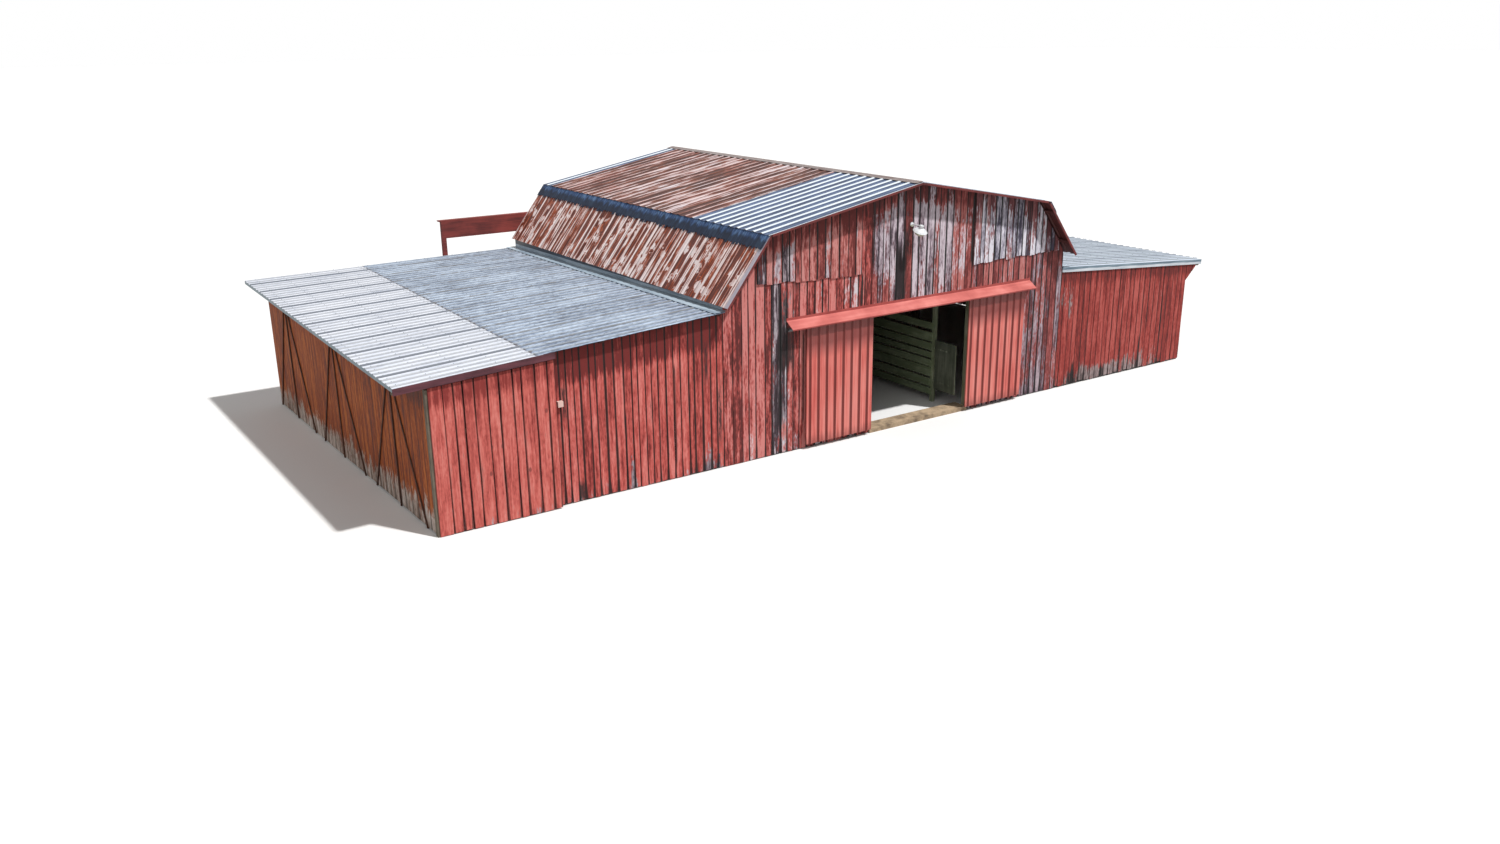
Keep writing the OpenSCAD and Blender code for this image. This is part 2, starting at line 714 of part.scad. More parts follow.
module right_front_wall() {
    x1 = right_wall_x + flare_w;
    top = sheet_d + wall_gap(RIGHT);
    flare_h = right_out_h - flare_drop;
    color("#a03a35") prism_y([[main_half_w, 0], [right_wall_x, 0], [right_wall_x, flare_h],
        [x1, flare_h + flare_w * flare_slope], [x1, lean_z(RIGHT, x1, 0) - top],
        [main_half_w, lean_z(RIGHT, main_half_w, 0) - top]], 0, board_t);
}
module right_side_wall() {
    top = beam_top(RIGHT, right_wall_x, 0) - seat;
    color("#8c3b36") block(right_wall_x - board_t, right_wall_x, board_t, main_len - board_t,
        0, top);
}
module right_roof() {
    color("#dde1e6") twisted_sheet(RIGHT, lean_in_x, right_out_x, 0);
}
module right_fascia() {
    x0 = main_half_w;
    x1 = right_out_x;
    z0 = lean_z(RIGHT, x0, right_y0) - sheet_d - seat;
    z1 = lean_z(RIGHT, x1, right_y0) - sheet_d - seat;
    color("#ccd3da") prism_y([[x0, z0], [x1, z1], [x1, z1 - fascia_h], [x0, z0 - fascia_h]],
        right_y0, right_y0 + trim_t);
}

// Frame of the lean-tos
lean_frame_y1 = main_len - board_t;
left_rear_x = left_wall_x + lean_frame_y1 * tan(left_turn) - board_t / cos(left_turn);
module rear_lean_wall(roof, x1) {
    prism_y(lean_wall(roof, main_half_w, x1, lean_y1, wall_gap(roof)), lean_frame_y1, main_len);
}
module lean_to_rear_walls() {
    color("#8c3b36") {
        left() rear_lean_wall(LEFT, left_rear_x - seat);
        rear_lean_wall(RIGHT, right_wall_x);
    }
}
// Fall of a roof over the width of one purlin, and depth of the rafters under the sheets
function purlin_fall(roof) = lean_purlin_w * max(roof[2] - roof[3], roof[4] - roof[5])
    / (roof[1] - roof[0]);
function rafter_drop(roof) = sheet_d + sheet_sag(roof) + lean_purlin_h + purlin_fall(roof)
    + twist_fall(roof) + 2 * seat;
// Fall and rise of the twisted roof over the width of one rafter
function twist_fall(roof) = rafter_w * max(0, roof[2] - roof[4], roof[3] - roof[5])
    / (lean_y1 - lean_y0);
function twist_rise(roof) = rafter_w * max(0, roof[4] - roof[2], roof[5] - roof[3])
    / (lean_y1 - lean_y0);
function rafter_z(roof, x, y) = lean_z(roof, x, y) - rafter_drop(roof);
function beam_top(roof, x, y) = rafter_z(roof, x, y) - lean_rafter_h - twist_rise(roof);
// Beam along the barn whose top follows the feet of the rafters
module long_beam(roof, x0, x1, y0, y1) {
    prism_x([[y0, beam_top(roof, x1, y0)], [y1, beam_top(roof, x1, y1)],
        [y1, beam_top(roof, x1, y1) - lean_beam_h], [y0, beam_top(roof, x1, y0) - lean_beam_h]],
        x0, x1);
}
// End of the outer frame of the left lean-to, where it meets the rear boards at an angle
left_frame_y1 = (lean_frame_y1 - seat - (lean_post_w - left_frame_x) * sin(left_turn))
    / cos(left_turn);
module lean_to_beams() {
    color("#8a8174") {
        left() {
            long_beam(LEFT, main_half_w, main_half_w + lean_beam_w, board_t, lean_frame_y1);
            long_beam(LEFT, left_bay_x, left_bay_x + lean_post_w, board_t, lean_frame_y1);
        }
        on_left_wall() intersection() {
            prism_x(side_wall_outline(lean_beam_h), left_frame_x - lean_post_w, left_frame_x);
            block(left_frame_x - lean_post_w, left_frame_x, left_side_y0, left_frame_y1, 0, foot_h);
        }
        long_beam(RIGHT, main_half_w, main_half_w + lean_beam_w, board_t, lean_frame_y1);
        long_beam(RIGHT, right_wall_x - board_t - lean_post_w, right_wall_x - board_t, board_t,
            lean_frame_y1);
    }
}
module lean_rafters(roof, x1) {
    for (i = [0:frames - 1]) {
        y = frame_y(i);
        z0 = rafter_z(roof, main_half_w, y);
        z1 = rafter_z(roof, x1, y);
        prism_y([[main_half_w, z0], [x1, z1], [x1, z1 - lean_rafter_h],
            [main_half_w, z0 - lean_rafter_h]], y, y + rafter_w);
    }
}
module lean_to_rafters() {
    color("#94897a") {
        left() lean_rafters(LEFT, left_out_x - fascia_inset - trim_t - seat);
        lean_rafters(RIGHT, right_out_x - 30);
    }
}
// Places of the lean-to posts along the barn
function post_y(i) = mix(board_t, lean_frame_y1 - lean_post_w, i / (frames - 1));
function left_post_y(i) = mix(board_t, left_frame_y1 - lean_post_w, i / (frames - 1));
module lean_post(roof, x0, y) {
    block(x0, x0 + lean_post_w, y, y + lean_post_w, 0,
        min(beam_top(roof, x0 + lean_post_w, y), beam_top(roof, x0 + lean_post_w,
            y + lean_post_w)) - lean_beam_h);
}
module lean_to_posts() {
    color("#7d7468") {
        left() {
            for (i = [0:frames - 1]) lean_post(LEFT, left_bay_x, post_y(i));
            // Corner post behind the outer front wall
            translate([left_wall_x - lean_post_w + corner_lap, board_t - left_bay_proud, 0])
                cube([lean_post_w, lean_post_w,
                    beam_top(LEFT, left_wall_x + corner_lap, lean_y0)]);
        }
        on_left_wall() for (i = [1:frames - 1])
            block(left_frame_x - lean_post_w, left_frame_x, left_post_y(i),
                left_post_y(i) + lean_post_w, 0, min(left_wall_top(left_post_y(i)),
                    left_wall_top(left_post_y(i) + lean_post_w)) - lean_beam_h);
        for (i = [0:frames - 1])
            lean_post(RIGHT, right_wall_x - board_t - lean_post_w, post_y(i));
    }
}
// Purlins under the lean-to sheets, from the front edge to the rear edge. They lie lower by as
// much as the twisted sheets sag between two ribs.
function sheet_sag(roof) = abs(roof[2] - roof[4] - roof[3] + roof[5]) / (lean_y1 - lean_y0)
    * (rib_pitch - rib_foot) / 4 * (left_out_x - left_seam_x + lap_w) / (left_out_x - lean_in_x);
module lean_purlin(roof, x1) {
    top = sheet_d + sheet_sag(roof) + seat;
    y0 = front_edge(roof) + trim_t;
    prism_x([[y0, lean_z(roof, x1, y0) - top], [lean_y1, lean_z(roof, x1, lean_y1) - top],
        [lean_y1, lean_z(roof, x1, lean_y1) - top - lean_purlin_h],
        [y0, lean_z(roof, x1, y0) - top - lean_purlin_h]], x1 - lean_purlin_w, x1);
}
module lean_purlins(roof, count) {
    for (i = [0:count - 1])
        lean_purlin(roof, mix(roof[0] + lean_purlin_w + 100, roof[1] - 40, i / (count - 1)));
}
left_purlins = 6;
right_purlins = 5;
module lean_to_purlins() {
    color("#94897a") {
        left() lean_purlins(LEFT, left_purlins);
        lean_purlins(RIGHT, right_purlins);
    }
}

// Rails behind the wall boards, two rows of them, between the posts
girt_heights = [900, 1900];
module girts(x0, x1, y) {
    for (z = girt_heights) block(x0, x1, y, y + girt_t, z, z + girt_h);
}
module side_girts(x0, y0, y1) {
    for (z = girt_heights) block(x0, x0 + girt_t, y0, y1, z, z + girt_h);
}
module front_girts() {
    main_x1 = post_x1 - post_w;
    girts(-main_x1, door_left_x - jamb_w, board_t);
    girts(door_right_x + jamb_w, main_x1, board_t);
    girts(main_half_w, right_wall_x - board_t - lean_post_w, board_t);
    left() {
        girts(main_half_w, left_bay_x, board_t);
        girts(left_bay_x - bay_lap + board_t, left_wall_x - lean_post_w + corner_lap,
            board_t - left_bay_proud);
    }
}
module rear_girts() {
    main_x1 = post_x1 - post_w;
    y = lean_frame_y1 - girt_t;
    girts(-main_x1, rear_door_x0, y);
    girts(rear_door_x1, main_x1, y);
    girts(main_half_w, right_wall_x - board_t - lean_post_w, y);
    left() {
        girts(main_half_w, left_bay_x, y);
        girts(left_bay_x + lean_post_w, left_rear_x - lean_post_w - lean_beam_w, y);
    }
}
module wall_girts() {
    color("#94897a") {
        front_girts();
        rear_girts();
        for (i = [0:frames - 2]) {
            side_girts(right_wall_x - board_t - girt_t, post_y(i) + lean_post_w, post_y(i + 1));
            on_left_wall() side_girts(left_frame_x - girt_t,
                i == 0 ? left_side_y0 : left_post_y(i) + lean_post_w, left_post_y(i + 1));
        }
    }
}

// Doorway
module door_hood() {
    t = flashing_t;
    bracket_w = 30;
    color("#cf5f58") {
        prism_x([[0, hood_back_h + hood_strip], [-t, hood_back_h + hood_strip],
            [-t, hood_back_h + t], [-hood_reach, hood_lip_h + t],
            [-hood_reach, hood_lip_h - hood_lip], [-hood_reach + t, hood_lip_h - hood_lip],
            [-hood_reach + t, hood_lip_h], [0, hood_back_h - t]], hood_left_x, hood_right_x);
        for (i = [0:5]) {
            x = mix(hood_left_x + 40, hood_right_x - 40 - bracket_w, i / 5);
            prism_x([[0, hood_back_h - t], [-hood_reach + t, hood_lip_h],
                [-hood_reach + t, hood_lip_h - 10], [0, hood_back_h - t - bracket_d]],
                x, x + bracket_w);
        }
    }
}
track_x0 = hood_left_x + 20;
track_x1 = hood_right_x - 20;
module door_track() {
    color("#77787a") {
        block(track_x0, track_x1, -board_t, 0, door_head, door_head + track_board_h);
        block(track_x0, track_x1, -rail_y - rail_t / 2, -rail_y + rail_t / 2, rail_top - rail_h,
            rail_top);
        for (i = [0:8]) {
            x = mix(track_x0, track_x1 - 30, i / 8);
            block(x, x + 30, -rail_y + rail_t / 2 - 1, -board_t + 1, rail_top - rail_h + 5,
                rail_top - 10);
        }
    }
}
module door_jambs() {
    color("#7f7a66") {
        block(door_left_x - jamb_w, door_left_x, board_t, board_t + jamb_w, 0,
            plate_top - plate_h);
        block(door_right_x, door_right_x + jamb_w, board_t, board_t + jamb_w, 0,
            plate_top - plate_h);
    }
}
module threshold_sill() {
    color("#b9a489") block(door_left_x, door_right_x, -board_t - 10, sill_d, 0, sill_h);
}

// Leaf seen from its front, middle of its width at zero, back face at zero
module leaf(top) {
    line = rib_line(-leaf_w / 2, leaf_w / 2, LEAF_SHEET);
    rail_d = 140;
    face = leaf_frame_t + sheet_t;
    translate([0, 0, leaf_bottom]) linear_extrude(top - leaf_bottom)
        mirror([0, 1]) translate([0, face]) polygon(sheet_outline(line, sheet_t + 1));
    for (z = [leaf_bottom, (leaf_bottom + top - rail_d) / 2, top - rail_d])
        block(-leaf_w / 2, leaf_w / 2, -leaf_frame_t, 0, z, z + rail_d);
    for (x = [-leaf_w / 2, leaf_w / 2 - rail_d])
        block(x, x + rail_d, -leaf_frame_t, 0, leaf_bottom, top);
}
left_leaf_x = left_leaf_edge - leaf_w / 2;
right_leaf_x = right_leaf_edge + leaf_w / 2;
module left_door() {
    color("#c4524c") translate([left_leaf_x, -leaf_gap, 0]) leaf(leaf_top);
}
module right_door() {
    color("#c4524c") translate([right_leaf_x, -leaf_gap, 0]) leaf(leaf_top);
}
// Two hangers a leaf: strap on the leaf's back, axle, and a wheel that stands on the rail
hanger_t = 8;
hanger_w = 60;
hanger_inset = 300;
module hangers(x) {
    wheel_z = rail_top + wheel_gap + wheel_r;
    for (s = [-1, 1]) translate([x + s * (leaf_w / 2 - hanger_inset), 0, 0]) {
        block(-hanger_w / 2, hanger_w / 2, -leaf_gap, -leaf_gap + hanger_t, leaf_top - 180,
            wheel_z + 25);
        translate([0, -leaf_gap + hanger_t - 1, wheel_z]) rotate([-90, 0, 0])
            cylinder(r = 9, h = leaf_gap - hanger_t - rail_y - wheel_w / 2 + 2, $fn = 32);
        translate([0, -rail_y - wheel_w / 2, wheel_z]) rotate([-90, 0, 0])
            cylinder(r = wheel_r, h = wheel_w, $fn = 48);
    }
}
module left_door_hangers() {
    color("#6b6d70") hangers(left_leaf_x);
}
module right_door_hangers() {
    color("#6b6d70") hangers(right_leaf_x);
}

// Stall beside the doorway
stall_x = door_right_x - stall_inset;
stall_face_x = stall_x - stall_post_w / 2;
module stall_posts() {
    color("#8b9178") {
        for (i = [0:1])
            block(stall_face_x, stall_face_x + stall_post_w, stall_first_y + i * stall_bay,
                stall_first_y + i * stall_bay + stall_post_w, 0, stall_post_h);
        // Rail over the posts, from the front boards to the last post
        block(stall_face_x, stall_face_x + stall_post_w, board_t,
            stall_first_y + stall_bay + stall_post_w, stall_post_h - 1,
            stall_post_h + stall_post_w);
        for (z = hinge_heights)
            block(hinge_x - hinge_r, stall_face_x + 1, hinge_y - hinge_r,
                stall_first_y + 40, z - 30, z - hinge_seat);
    }
}
module stall_slats() {
    color("#7f8a6c") for (i = [0:len(slat_heights) - 1])
        translate([stall_face_x - slat_t, stall_first_y + 50,
            slat_base + sum_to(slat_heights, i) + sum_to(slat_gaps, i)])
            cube([slat_t, stall_bay, slat_heights[i]]);
}
// Half door of boards on ledges, hung on two strap hinges that stand on pintle brackets
hinge_r = 10;
hinge_h = 40;
hinge_seat = 0.3;
hinge_x = stall_face_x - 5;
hinge_y = stall_first_y - 25;
hinge_heights = [stall_door_base + 180, stall_door_base + stall_door_h - 220];
module stall_door() {
    y0 = board_t + jamb_w + stall_door_gap;
    y1 = stall_first_y - stall_door_gap;
    face = hinge_x + hinge_r;
    color("#8c8f76") {
        block(face, face + slat_t, y0, y1, stall_door_base, stall_door_base + stall_door_h);
        for (z = hinge_heights) {
            block(face + slat_t - 1, face + 2 * slat_t, y0 + 20, y1 - 20, z - 50, z + 70);
            block(face - 6, face + 1, y0 + 150, hinge_y, z, z + hinge_h);
            translate([hinge_x, hinge_y, z]) cylinder(r = hinge_r, h = hinge_h, $fn = 32);
        }
    }
}

// Lamp with a round dish on a short arm
// Lamp on an arm: a collar and a shade turned about one axis, and a bowl of glass under them
collar_r = 45;
collar_h = 60;
shade_h = 130;
shade_t = 6;
glass_inset = 30;
module lamp_head() {
    glass_r = lamp_r - glass_inset;
    translate([0, 0, -collar_h]) cylinder(r = collar_r, h = collar_h + 12, $fn = 32);
    rotate_extrude($fn = 48) polygon([[0, -collar_h + shade_t], [collar_r, -collar_h + shade_t],
        [lamp_r * 0.75, -shade_h * 0.72], [lamp_r, -shade_h], [lamp_r - shade_t, -shade_h],
        [lamp_r * 0.75 - shade_t, -shade_h * 0.72 - shade_t],
        [collar_r - shade_t, -collar_h], [0, -collar_h]]);
    rotate_extrude($fn = 48) polygon(concat(
        [[0, -collar_h], [collar_r - 2 * shade_t, -collar_h], [glass_r, -shade_h - shade_t]],
        [for (a = [15:15:90]) [glass_r * cos(a), -shade_h - shade_t - lamp_glass_h * sin(a)]]));
}
module gable_lamp() {
    color("#eceff1") translate([lamp_x, 0, lamp_h]) {
        rotate([90, 0, 0]) cylinder(r = 50, h = 12, $fn = 32);
        rotate([90, 0, 0]) cylinder(r = 16, h = lamp_reach, $fn = 24);
        translate([0, -lamp_reach, 0]) rotate([lamp_tilt, 0, 0]) lamp_head();
    }
}

// Capped beam across the rear, over the shut doors, on a post past the corner
module rear_track_beam() {
    cap = 55;
    cap_t = 30;
    spacer = 60;
    x0 = -main_half_w - rear_beam_reach;
    y0 = roof_y1 + 5;
    color("#9b3d3a") {
        for (i = [0:3]) {
            x = mix(-0.7, 0.7, i / 3) * main_half_w;
            block(x - spacer, x + spacer, main_len, y0 + 1, rear_beam_h + spacer,
                rear_beam_h + rear_beam_d - spacer);
        }
        block(x0, main_half_w, y0, y0 + rear_beam_t, rear_beam_h, rear_beam_h + rear_beam_d);
        block(x0 - cap, main_half_w, y0, y0 + rear_beam_t + cap,
            rear_beam_h + rear_beam_d, rear_beam_h + rear_beam_d + cap_t);
        block(x0, x0 + rear_beam_t, y0, y0 + rear_beam_t, 0, rear_beam_h);
    }
}

front_wall_left();
front_wall_right();
front_gable_centre();
front_flap_left();
front_flap_right();
rear_wall();
rear_doors();
upper_side_walls();
main_posts();
eave_plates();
tie_beams();
main_rafters();
purlins();
wall_girts();
upper_roof_left();
upper_roof_right();
steep_roof_left();
steep_roof_right();
ridge_cap();
break_flashings();
eave_flashings();
rake_boards();
left_front_wall();
left_bay_front_wall();
left_side_wall();
left_wall_braces();
wall_box();
left_roof_inner();
left_roof_outer();
left_rake_board();
left_fascia();
right_front_wall();
right_side_wall();
right_roof();
right_fascia();
lean_to_rear_walls();
lean_to_posts();
lean_to_beams();
lean_to_rafters();
lean_to_purlins();
door_hood();
door_track();
door_jambs();
threshold_sill();
left_door();
left_door_hangers();
right_door();
right_door_hangers();
stall_posts();
stall_slats();
stall_door();
gable_lamp();
rear_track_beam();
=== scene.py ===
"""Looks of the gambrel barn: weathered boards, ribbed sheets, sliding doors and their fixings.

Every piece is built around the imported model, in metres, in the model's own frame: X along the
front to the right, Y to the rear, Z upwards. Walls are rows of separate boards that geometry
nodes grow from each wall's sizes, and the sheets and frames keep the model's own meshes.
"""

import logging
import math
from collections.abc import Callable, Iterable
from dataclasses import dataclass
from enum import Enum

import bpy
from bpy.types import Material, Object
from mathutils import Color, Matrix, Vector


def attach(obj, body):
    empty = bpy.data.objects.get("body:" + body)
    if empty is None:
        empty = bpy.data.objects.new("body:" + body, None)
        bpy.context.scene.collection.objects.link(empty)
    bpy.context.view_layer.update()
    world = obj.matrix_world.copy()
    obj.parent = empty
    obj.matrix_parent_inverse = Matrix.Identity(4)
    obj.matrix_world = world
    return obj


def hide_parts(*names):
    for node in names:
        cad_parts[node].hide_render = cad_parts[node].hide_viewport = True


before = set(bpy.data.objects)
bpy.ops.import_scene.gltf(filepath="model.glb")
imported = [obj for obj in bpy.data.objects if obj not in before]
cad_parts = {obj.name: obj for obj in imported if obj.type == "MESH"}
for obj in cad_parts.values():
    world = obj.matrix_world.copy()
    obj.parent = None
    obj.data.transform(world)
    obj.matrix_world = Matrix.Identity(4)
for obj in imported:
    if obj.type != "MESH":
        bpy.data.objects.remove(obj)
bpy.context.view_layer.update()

LOG = logging.getLogger("barn")
BODY = "barn"
# Dark red-brown painted shade for what lies under the roof's overhang: sheet undersides and timber
# ends.
SOFFIT_SHADE = "471d1a"

Colour = tuple[float, float, float, float]
Ink = "Wire | Colour | str"
Number = "float | Wire"
Place = tuple[float, float, float]
Line = tuple[float, float]
Lines = tuple[Line, Line]
Sizes = dict[str, int | float | Place]


def tint(code: str) -> Colour:
    """Turns a display colour, as six hexadecimal digits, into a linear one with full alpha."""
    shown = Color([int(code[i:i + 2], 16) / 255 for i in (0, 2, 4)])
    return (*shown.from_srgb_to_scene_linear(), 1.0)


def axes(x: Vector, y: Vector, z: Vector) -> Matrix:
    """Gives the matrix that turns the main axes into three others."""
    return Matrix((x, y, z)).transposed().to_4x4()


def add(name: str, data: bpy.types.ID, place: Matrix = Matrix.Identity(4)) -> Object:
    """Adds an object to the scene.

    Args:
        name: Its name.
        data: Its mesh, camera or light.
        place: Where it goes.

    Returns:
        The object.
    """
    thing = bpy.data.objects.new(name, data)
    thing.matrix_world = place
    bpy.context.scene.collection.objects.link(thing)
    return thing


def operator(operation: str, swapped: bool = False) -> Callable:
    """Makes the method behind a wire's operator, swapped where the number comes first.

    Args:
        operation: The Math node's operation.
        swapped: Whether the other value comes first.

    Returns:
        The method.
    """
    def method(self: "Wire", other: Number) -> "Wire":
        """Adds the Math node."""
        return self.tree.math(operation, *((other, self) if swapped else (self, other)))
    return method


class Wire:
    """A node socket that takes part in sums like a number."""

    __add__, __radd__ = operator("ADD"), operator("ADD", swapped=True)
    __sub__, __rsub__ = operator("SUBTRACT"), operator("SUBTRACT", swapped=True)
    __mul__, __rmul__ = operator("MULTIPLY"), operator("MULTIPLY", swapped=True)
    __truediv__, __pow__ = operator("DIVIDE"), operator("POWER")

    def __init__(self, tree: "Tree", socket: bpy.types.NodeSocket) -> None:
        """Keeps the socket with the tree that it belongs to."""
        self.tree = tree
        self.socket = socket

    def __abs__(self) -> "Wire":
        """Drops the sign."""
        return self.tree.math("ABSOLUTE", self)

    def other(self, name: str) -> "Wire":
        """Gives another output of the same node."""
        return Wire(self.tree, Tree.find(self.socket.node.outputs, name))


class Tree:
    """A node tree, for a surface or for a mesh, that is written as plain expressions."""

    def __init__(self, tree: bpy.types.NodeTree) -> None:
        """Takes an empty node tree."""
        self.tree = tree

    @staticmethod
    def find(sockets: Iterable, key: int | str) -> bpy.types.NodeSocket:
        """Finds a socket by its place or by the name of one that is in use.

        Args:
            sockets: Inputs or outputs of a node.
            key: Its place or name.

        Returns:
            The socket.
        """
        if isinstance(key, int):
            return sockets[key]
        return next(s for s in sockets if s.name == key and s.enabled)

    def node(self, kind: str, settings: dict | None = None, inputs: dict | None = None,
             out: int | str = 0) -> Wire:
        """Adds a node.

        Args:
            kind: The node's type.
            settings: Its own settings, which are set first.
            inputs: Values or wires for its inputs, by name or place.
            out: The output that is wanted, by name or place.

        Returns:
            That output.
        """
        node = self.tree.nodes.new(kind)
        for name, value in (settings or {}).items():
            setattr(node, name, value)
        for key, value in (inputs or {}).items():
            socket = self.find(node.inputs, key)
            if isinstance(value, Wire):
                self.tree.links.new(value.socket, socket)
            else:
                socket.default_value = value
        return Wire(self, self.find(node.outputs, out))

    def end_in(self, kind: str, key: str, wire: Wire) -> None:
        """Links a wire to a new output node."""
        output = self.tree.nodes.new(kind)
        self.tree.links.new(wire.socket, output.inputs[key])

    def math(self, operation: str, *values: Number, clamp: bool = False) -> Wire:
        """Adds one Math node, whose result can be kept between 0 and 1."""
        return self.node("ShaderNodeMath", {"operation": operation, "use_clamp": clamp},
                         dict(enumerate(values)))

    def most(self, masks: Iterable[Number]) -> Number:
        """Gives the highest of several masks, or 0 where there is none.

        Args:
            masks: Wires or numbers.

        Returns:
            The highest of them.
        """
        total: Number = 0.0
        for mask in masks:
            total = self.math("MAXIMUM", total, mask)
        return total

    def step(self, value: Wire, edge: Number, soft: float) -> Wire:
        """Rises from 0 to 1 over a width, with a half at the edge."""
        return self.math("ADD", (value - edge) / soft, 0.5, clamp=True)

    def drop(self, value: Wire, edge: Number, soft: float) -> Wire:
        """Falls from 1 to 0 over a width, with a half at the edge."""
        return 1.0 - self.step(value, edge, soft)

    def repeat(self, value: Wire, first: float, pitch: float) -> Wire:
        """Gives the place within a repeat, from -0.5 to 0.5, with 0 at its middle."""
        return self.math("FRACT", (value - first) / pitch + 0.5) - 0.5

    def vector(self, operation: str, *values: Place | Wire) -> Wire:
        """Adds one Vector Math node and gives its vector."""
        return self.node("ShaderNodeVectorMath", {"operation": operation},
                         dict(enumerate(values)))

    def scale(self, vector: Place | Wire, factor: Number) -> Wire:
        """Multiplies a vector or a colour by a number."""
        return self.node("ShaderNodeVectorMath", {"operation": "SCALE"},
                         {0: vector, "Scale": factor})

    def join(self, x: Number = 0.0, y: Number = 0.0, z: Number = 0.0) -> Wire:
        """Makes a vector of three numbers."""
        return self.node("ShaderNodeCombineXYZ", inputs={"X": x, "Y": y, "Z": z})

    def split(self, vector: Wire) -> tuple[Wire, ...]:
        """Takes a vector apart."""
        first = self.node("ShaderNodeSeparateXYZ", inputs={"Vector": vector})
        return tuple(Wire(self, output) for output in first.socket.node.outputs)


class Surface(Tree):
    """A material's tree, with the object's own coordinates at hand."""

    BOARD_SHIFT = (17.0, 5.0, 11.0)
    NOISE_ROUGHNESS = 0.55
    RELIEF_STRENGTH = 0.8
    SHADE_STOPS = (0.15, 0.5, 0.85)

    def __init__(self, name: str) -> None:
        """Starts an empty material.

        Args:
            name: Its name.
        """
        self.material = bpy.data.materials.new(name)
        self.material.use_nodes = True
        self.material.node_tree.nodes.clear()
        super().__init__(self.material.node_tree)
        self.place = self.node("ShaderNodeTexCoord", out="Object")
        self.x, self.y, self.z = self.split(self.place)

    def attribute(self, name: str) -> Wire:
        """Reads a number that the mesh carries."""
        return self.node("ShaderNodeAttribute", {"attribute_name": name}, out="Fac")

    def upward(self) -> Wire:
        """Gives how far the surface looks up, from -1 to 1."""
        return self.split(self.node("ShaderNodeNewGeometry", out="Normal"))[2]

    def noise(self, scale: float, stretch: Place = (1.0, 1.0, 1.0), detail: float = 3.0,
              shift: Wire | None = None) -> Wire:
        """Gives soft random spots.

        Args:
            scale: Spots to a metre.
            stretch: How much finer the spots are along each axis.
            detail: Levels of finer spots.
            shift: A number that moves the pattern, so that each board has its own.

        Returns:
            A value round zero, within half a unit of it.
        """
        place = self.vector("MULTIPLY", self.place, stretch)
        if shift is not None:
            place = self.vector("ADD", place, self.scale(self.BOARD_SHIFT, shift))
        return self.node("ShaderNodeTexNoise", inputs={
            "Vector": place, "Scale": scale, "Detail": detail,
            "Roughness": self.NOISE_ROUGHNESS}) - 0.5

    def mix(self, first: Ink, second: Ink, share: Number) -> Wire:
        """Blends two colours, as wires, numbers or codes, by a share of the second.

        Args:
            first: Colour at a share of 0.
            second: Colour at a share of 1.
            share: Share of the second.

        Returns:
            The blended colour.
        """
        first, second = (tint(ink) if isinstance(ink, str) else ink for ink in (first, second))
        return self.node("ShaderNodeMix", {"data_type": "RGBA"},
                         {"Factor": share, "A": first, "B": second}, out="Result")

    def blend(self, shades: str, value: Wire) -> Wire:
        """Blends three shades by a value, from the darkest to the lightest.

        Args:
            shades: Codes of the three, with spaces between them.
            value: Place among them, from 0 to 1.

        Returns:
            The colour.
        """
        colour = self.node("ShaderNodeValToRGB", inputs={"Fac": value}, out="Color")
        stops = colour.socket.node.color_ramp.elements
        stops.new(1.0)
        for stop, place, code in zip(stops, self.SHADE_STOPS, shades.split()):
            stop.position = place
            stop.color = tint(code)
        return colour

    def darken(self, colour: Wire, share: Wire) -> Wire:
        """Takes a share of its light from a colour."""
        return self.scale(colour, 1.0 - share)

    def finish(self, colour: Wire, rough: Number, metal: float = 0.0,
               relief: Wire | None = None, depth: float = 0.0) -> Material:
        """Ends the tree with its shader.

        Args:
            colour: Base colour.
            rough: Roughness.
            metal: Share of bare metal.
            relief: Height of the fine surface, over a range of about one.
            depth: Height of that relief in metres.

        Returns:
            The material.
        """
        inputs = {"Base Color": colour, "Roughness": rough, "Metallic": metal}
        if relief is not None:
            inputs["Normal"] = self.node("ShaderNodeBump", inputs={
                "Height": relief, "Distance": depth, "Strength": self.RELIEF_STRENGTH},
                out="Normal")
        shader = self.node("ShaderNodeBsdfPrincipled", inputs=inputs)
        self.end_in("ShaderNodeOutputMaterial", "Surface", shader)
        return self.material


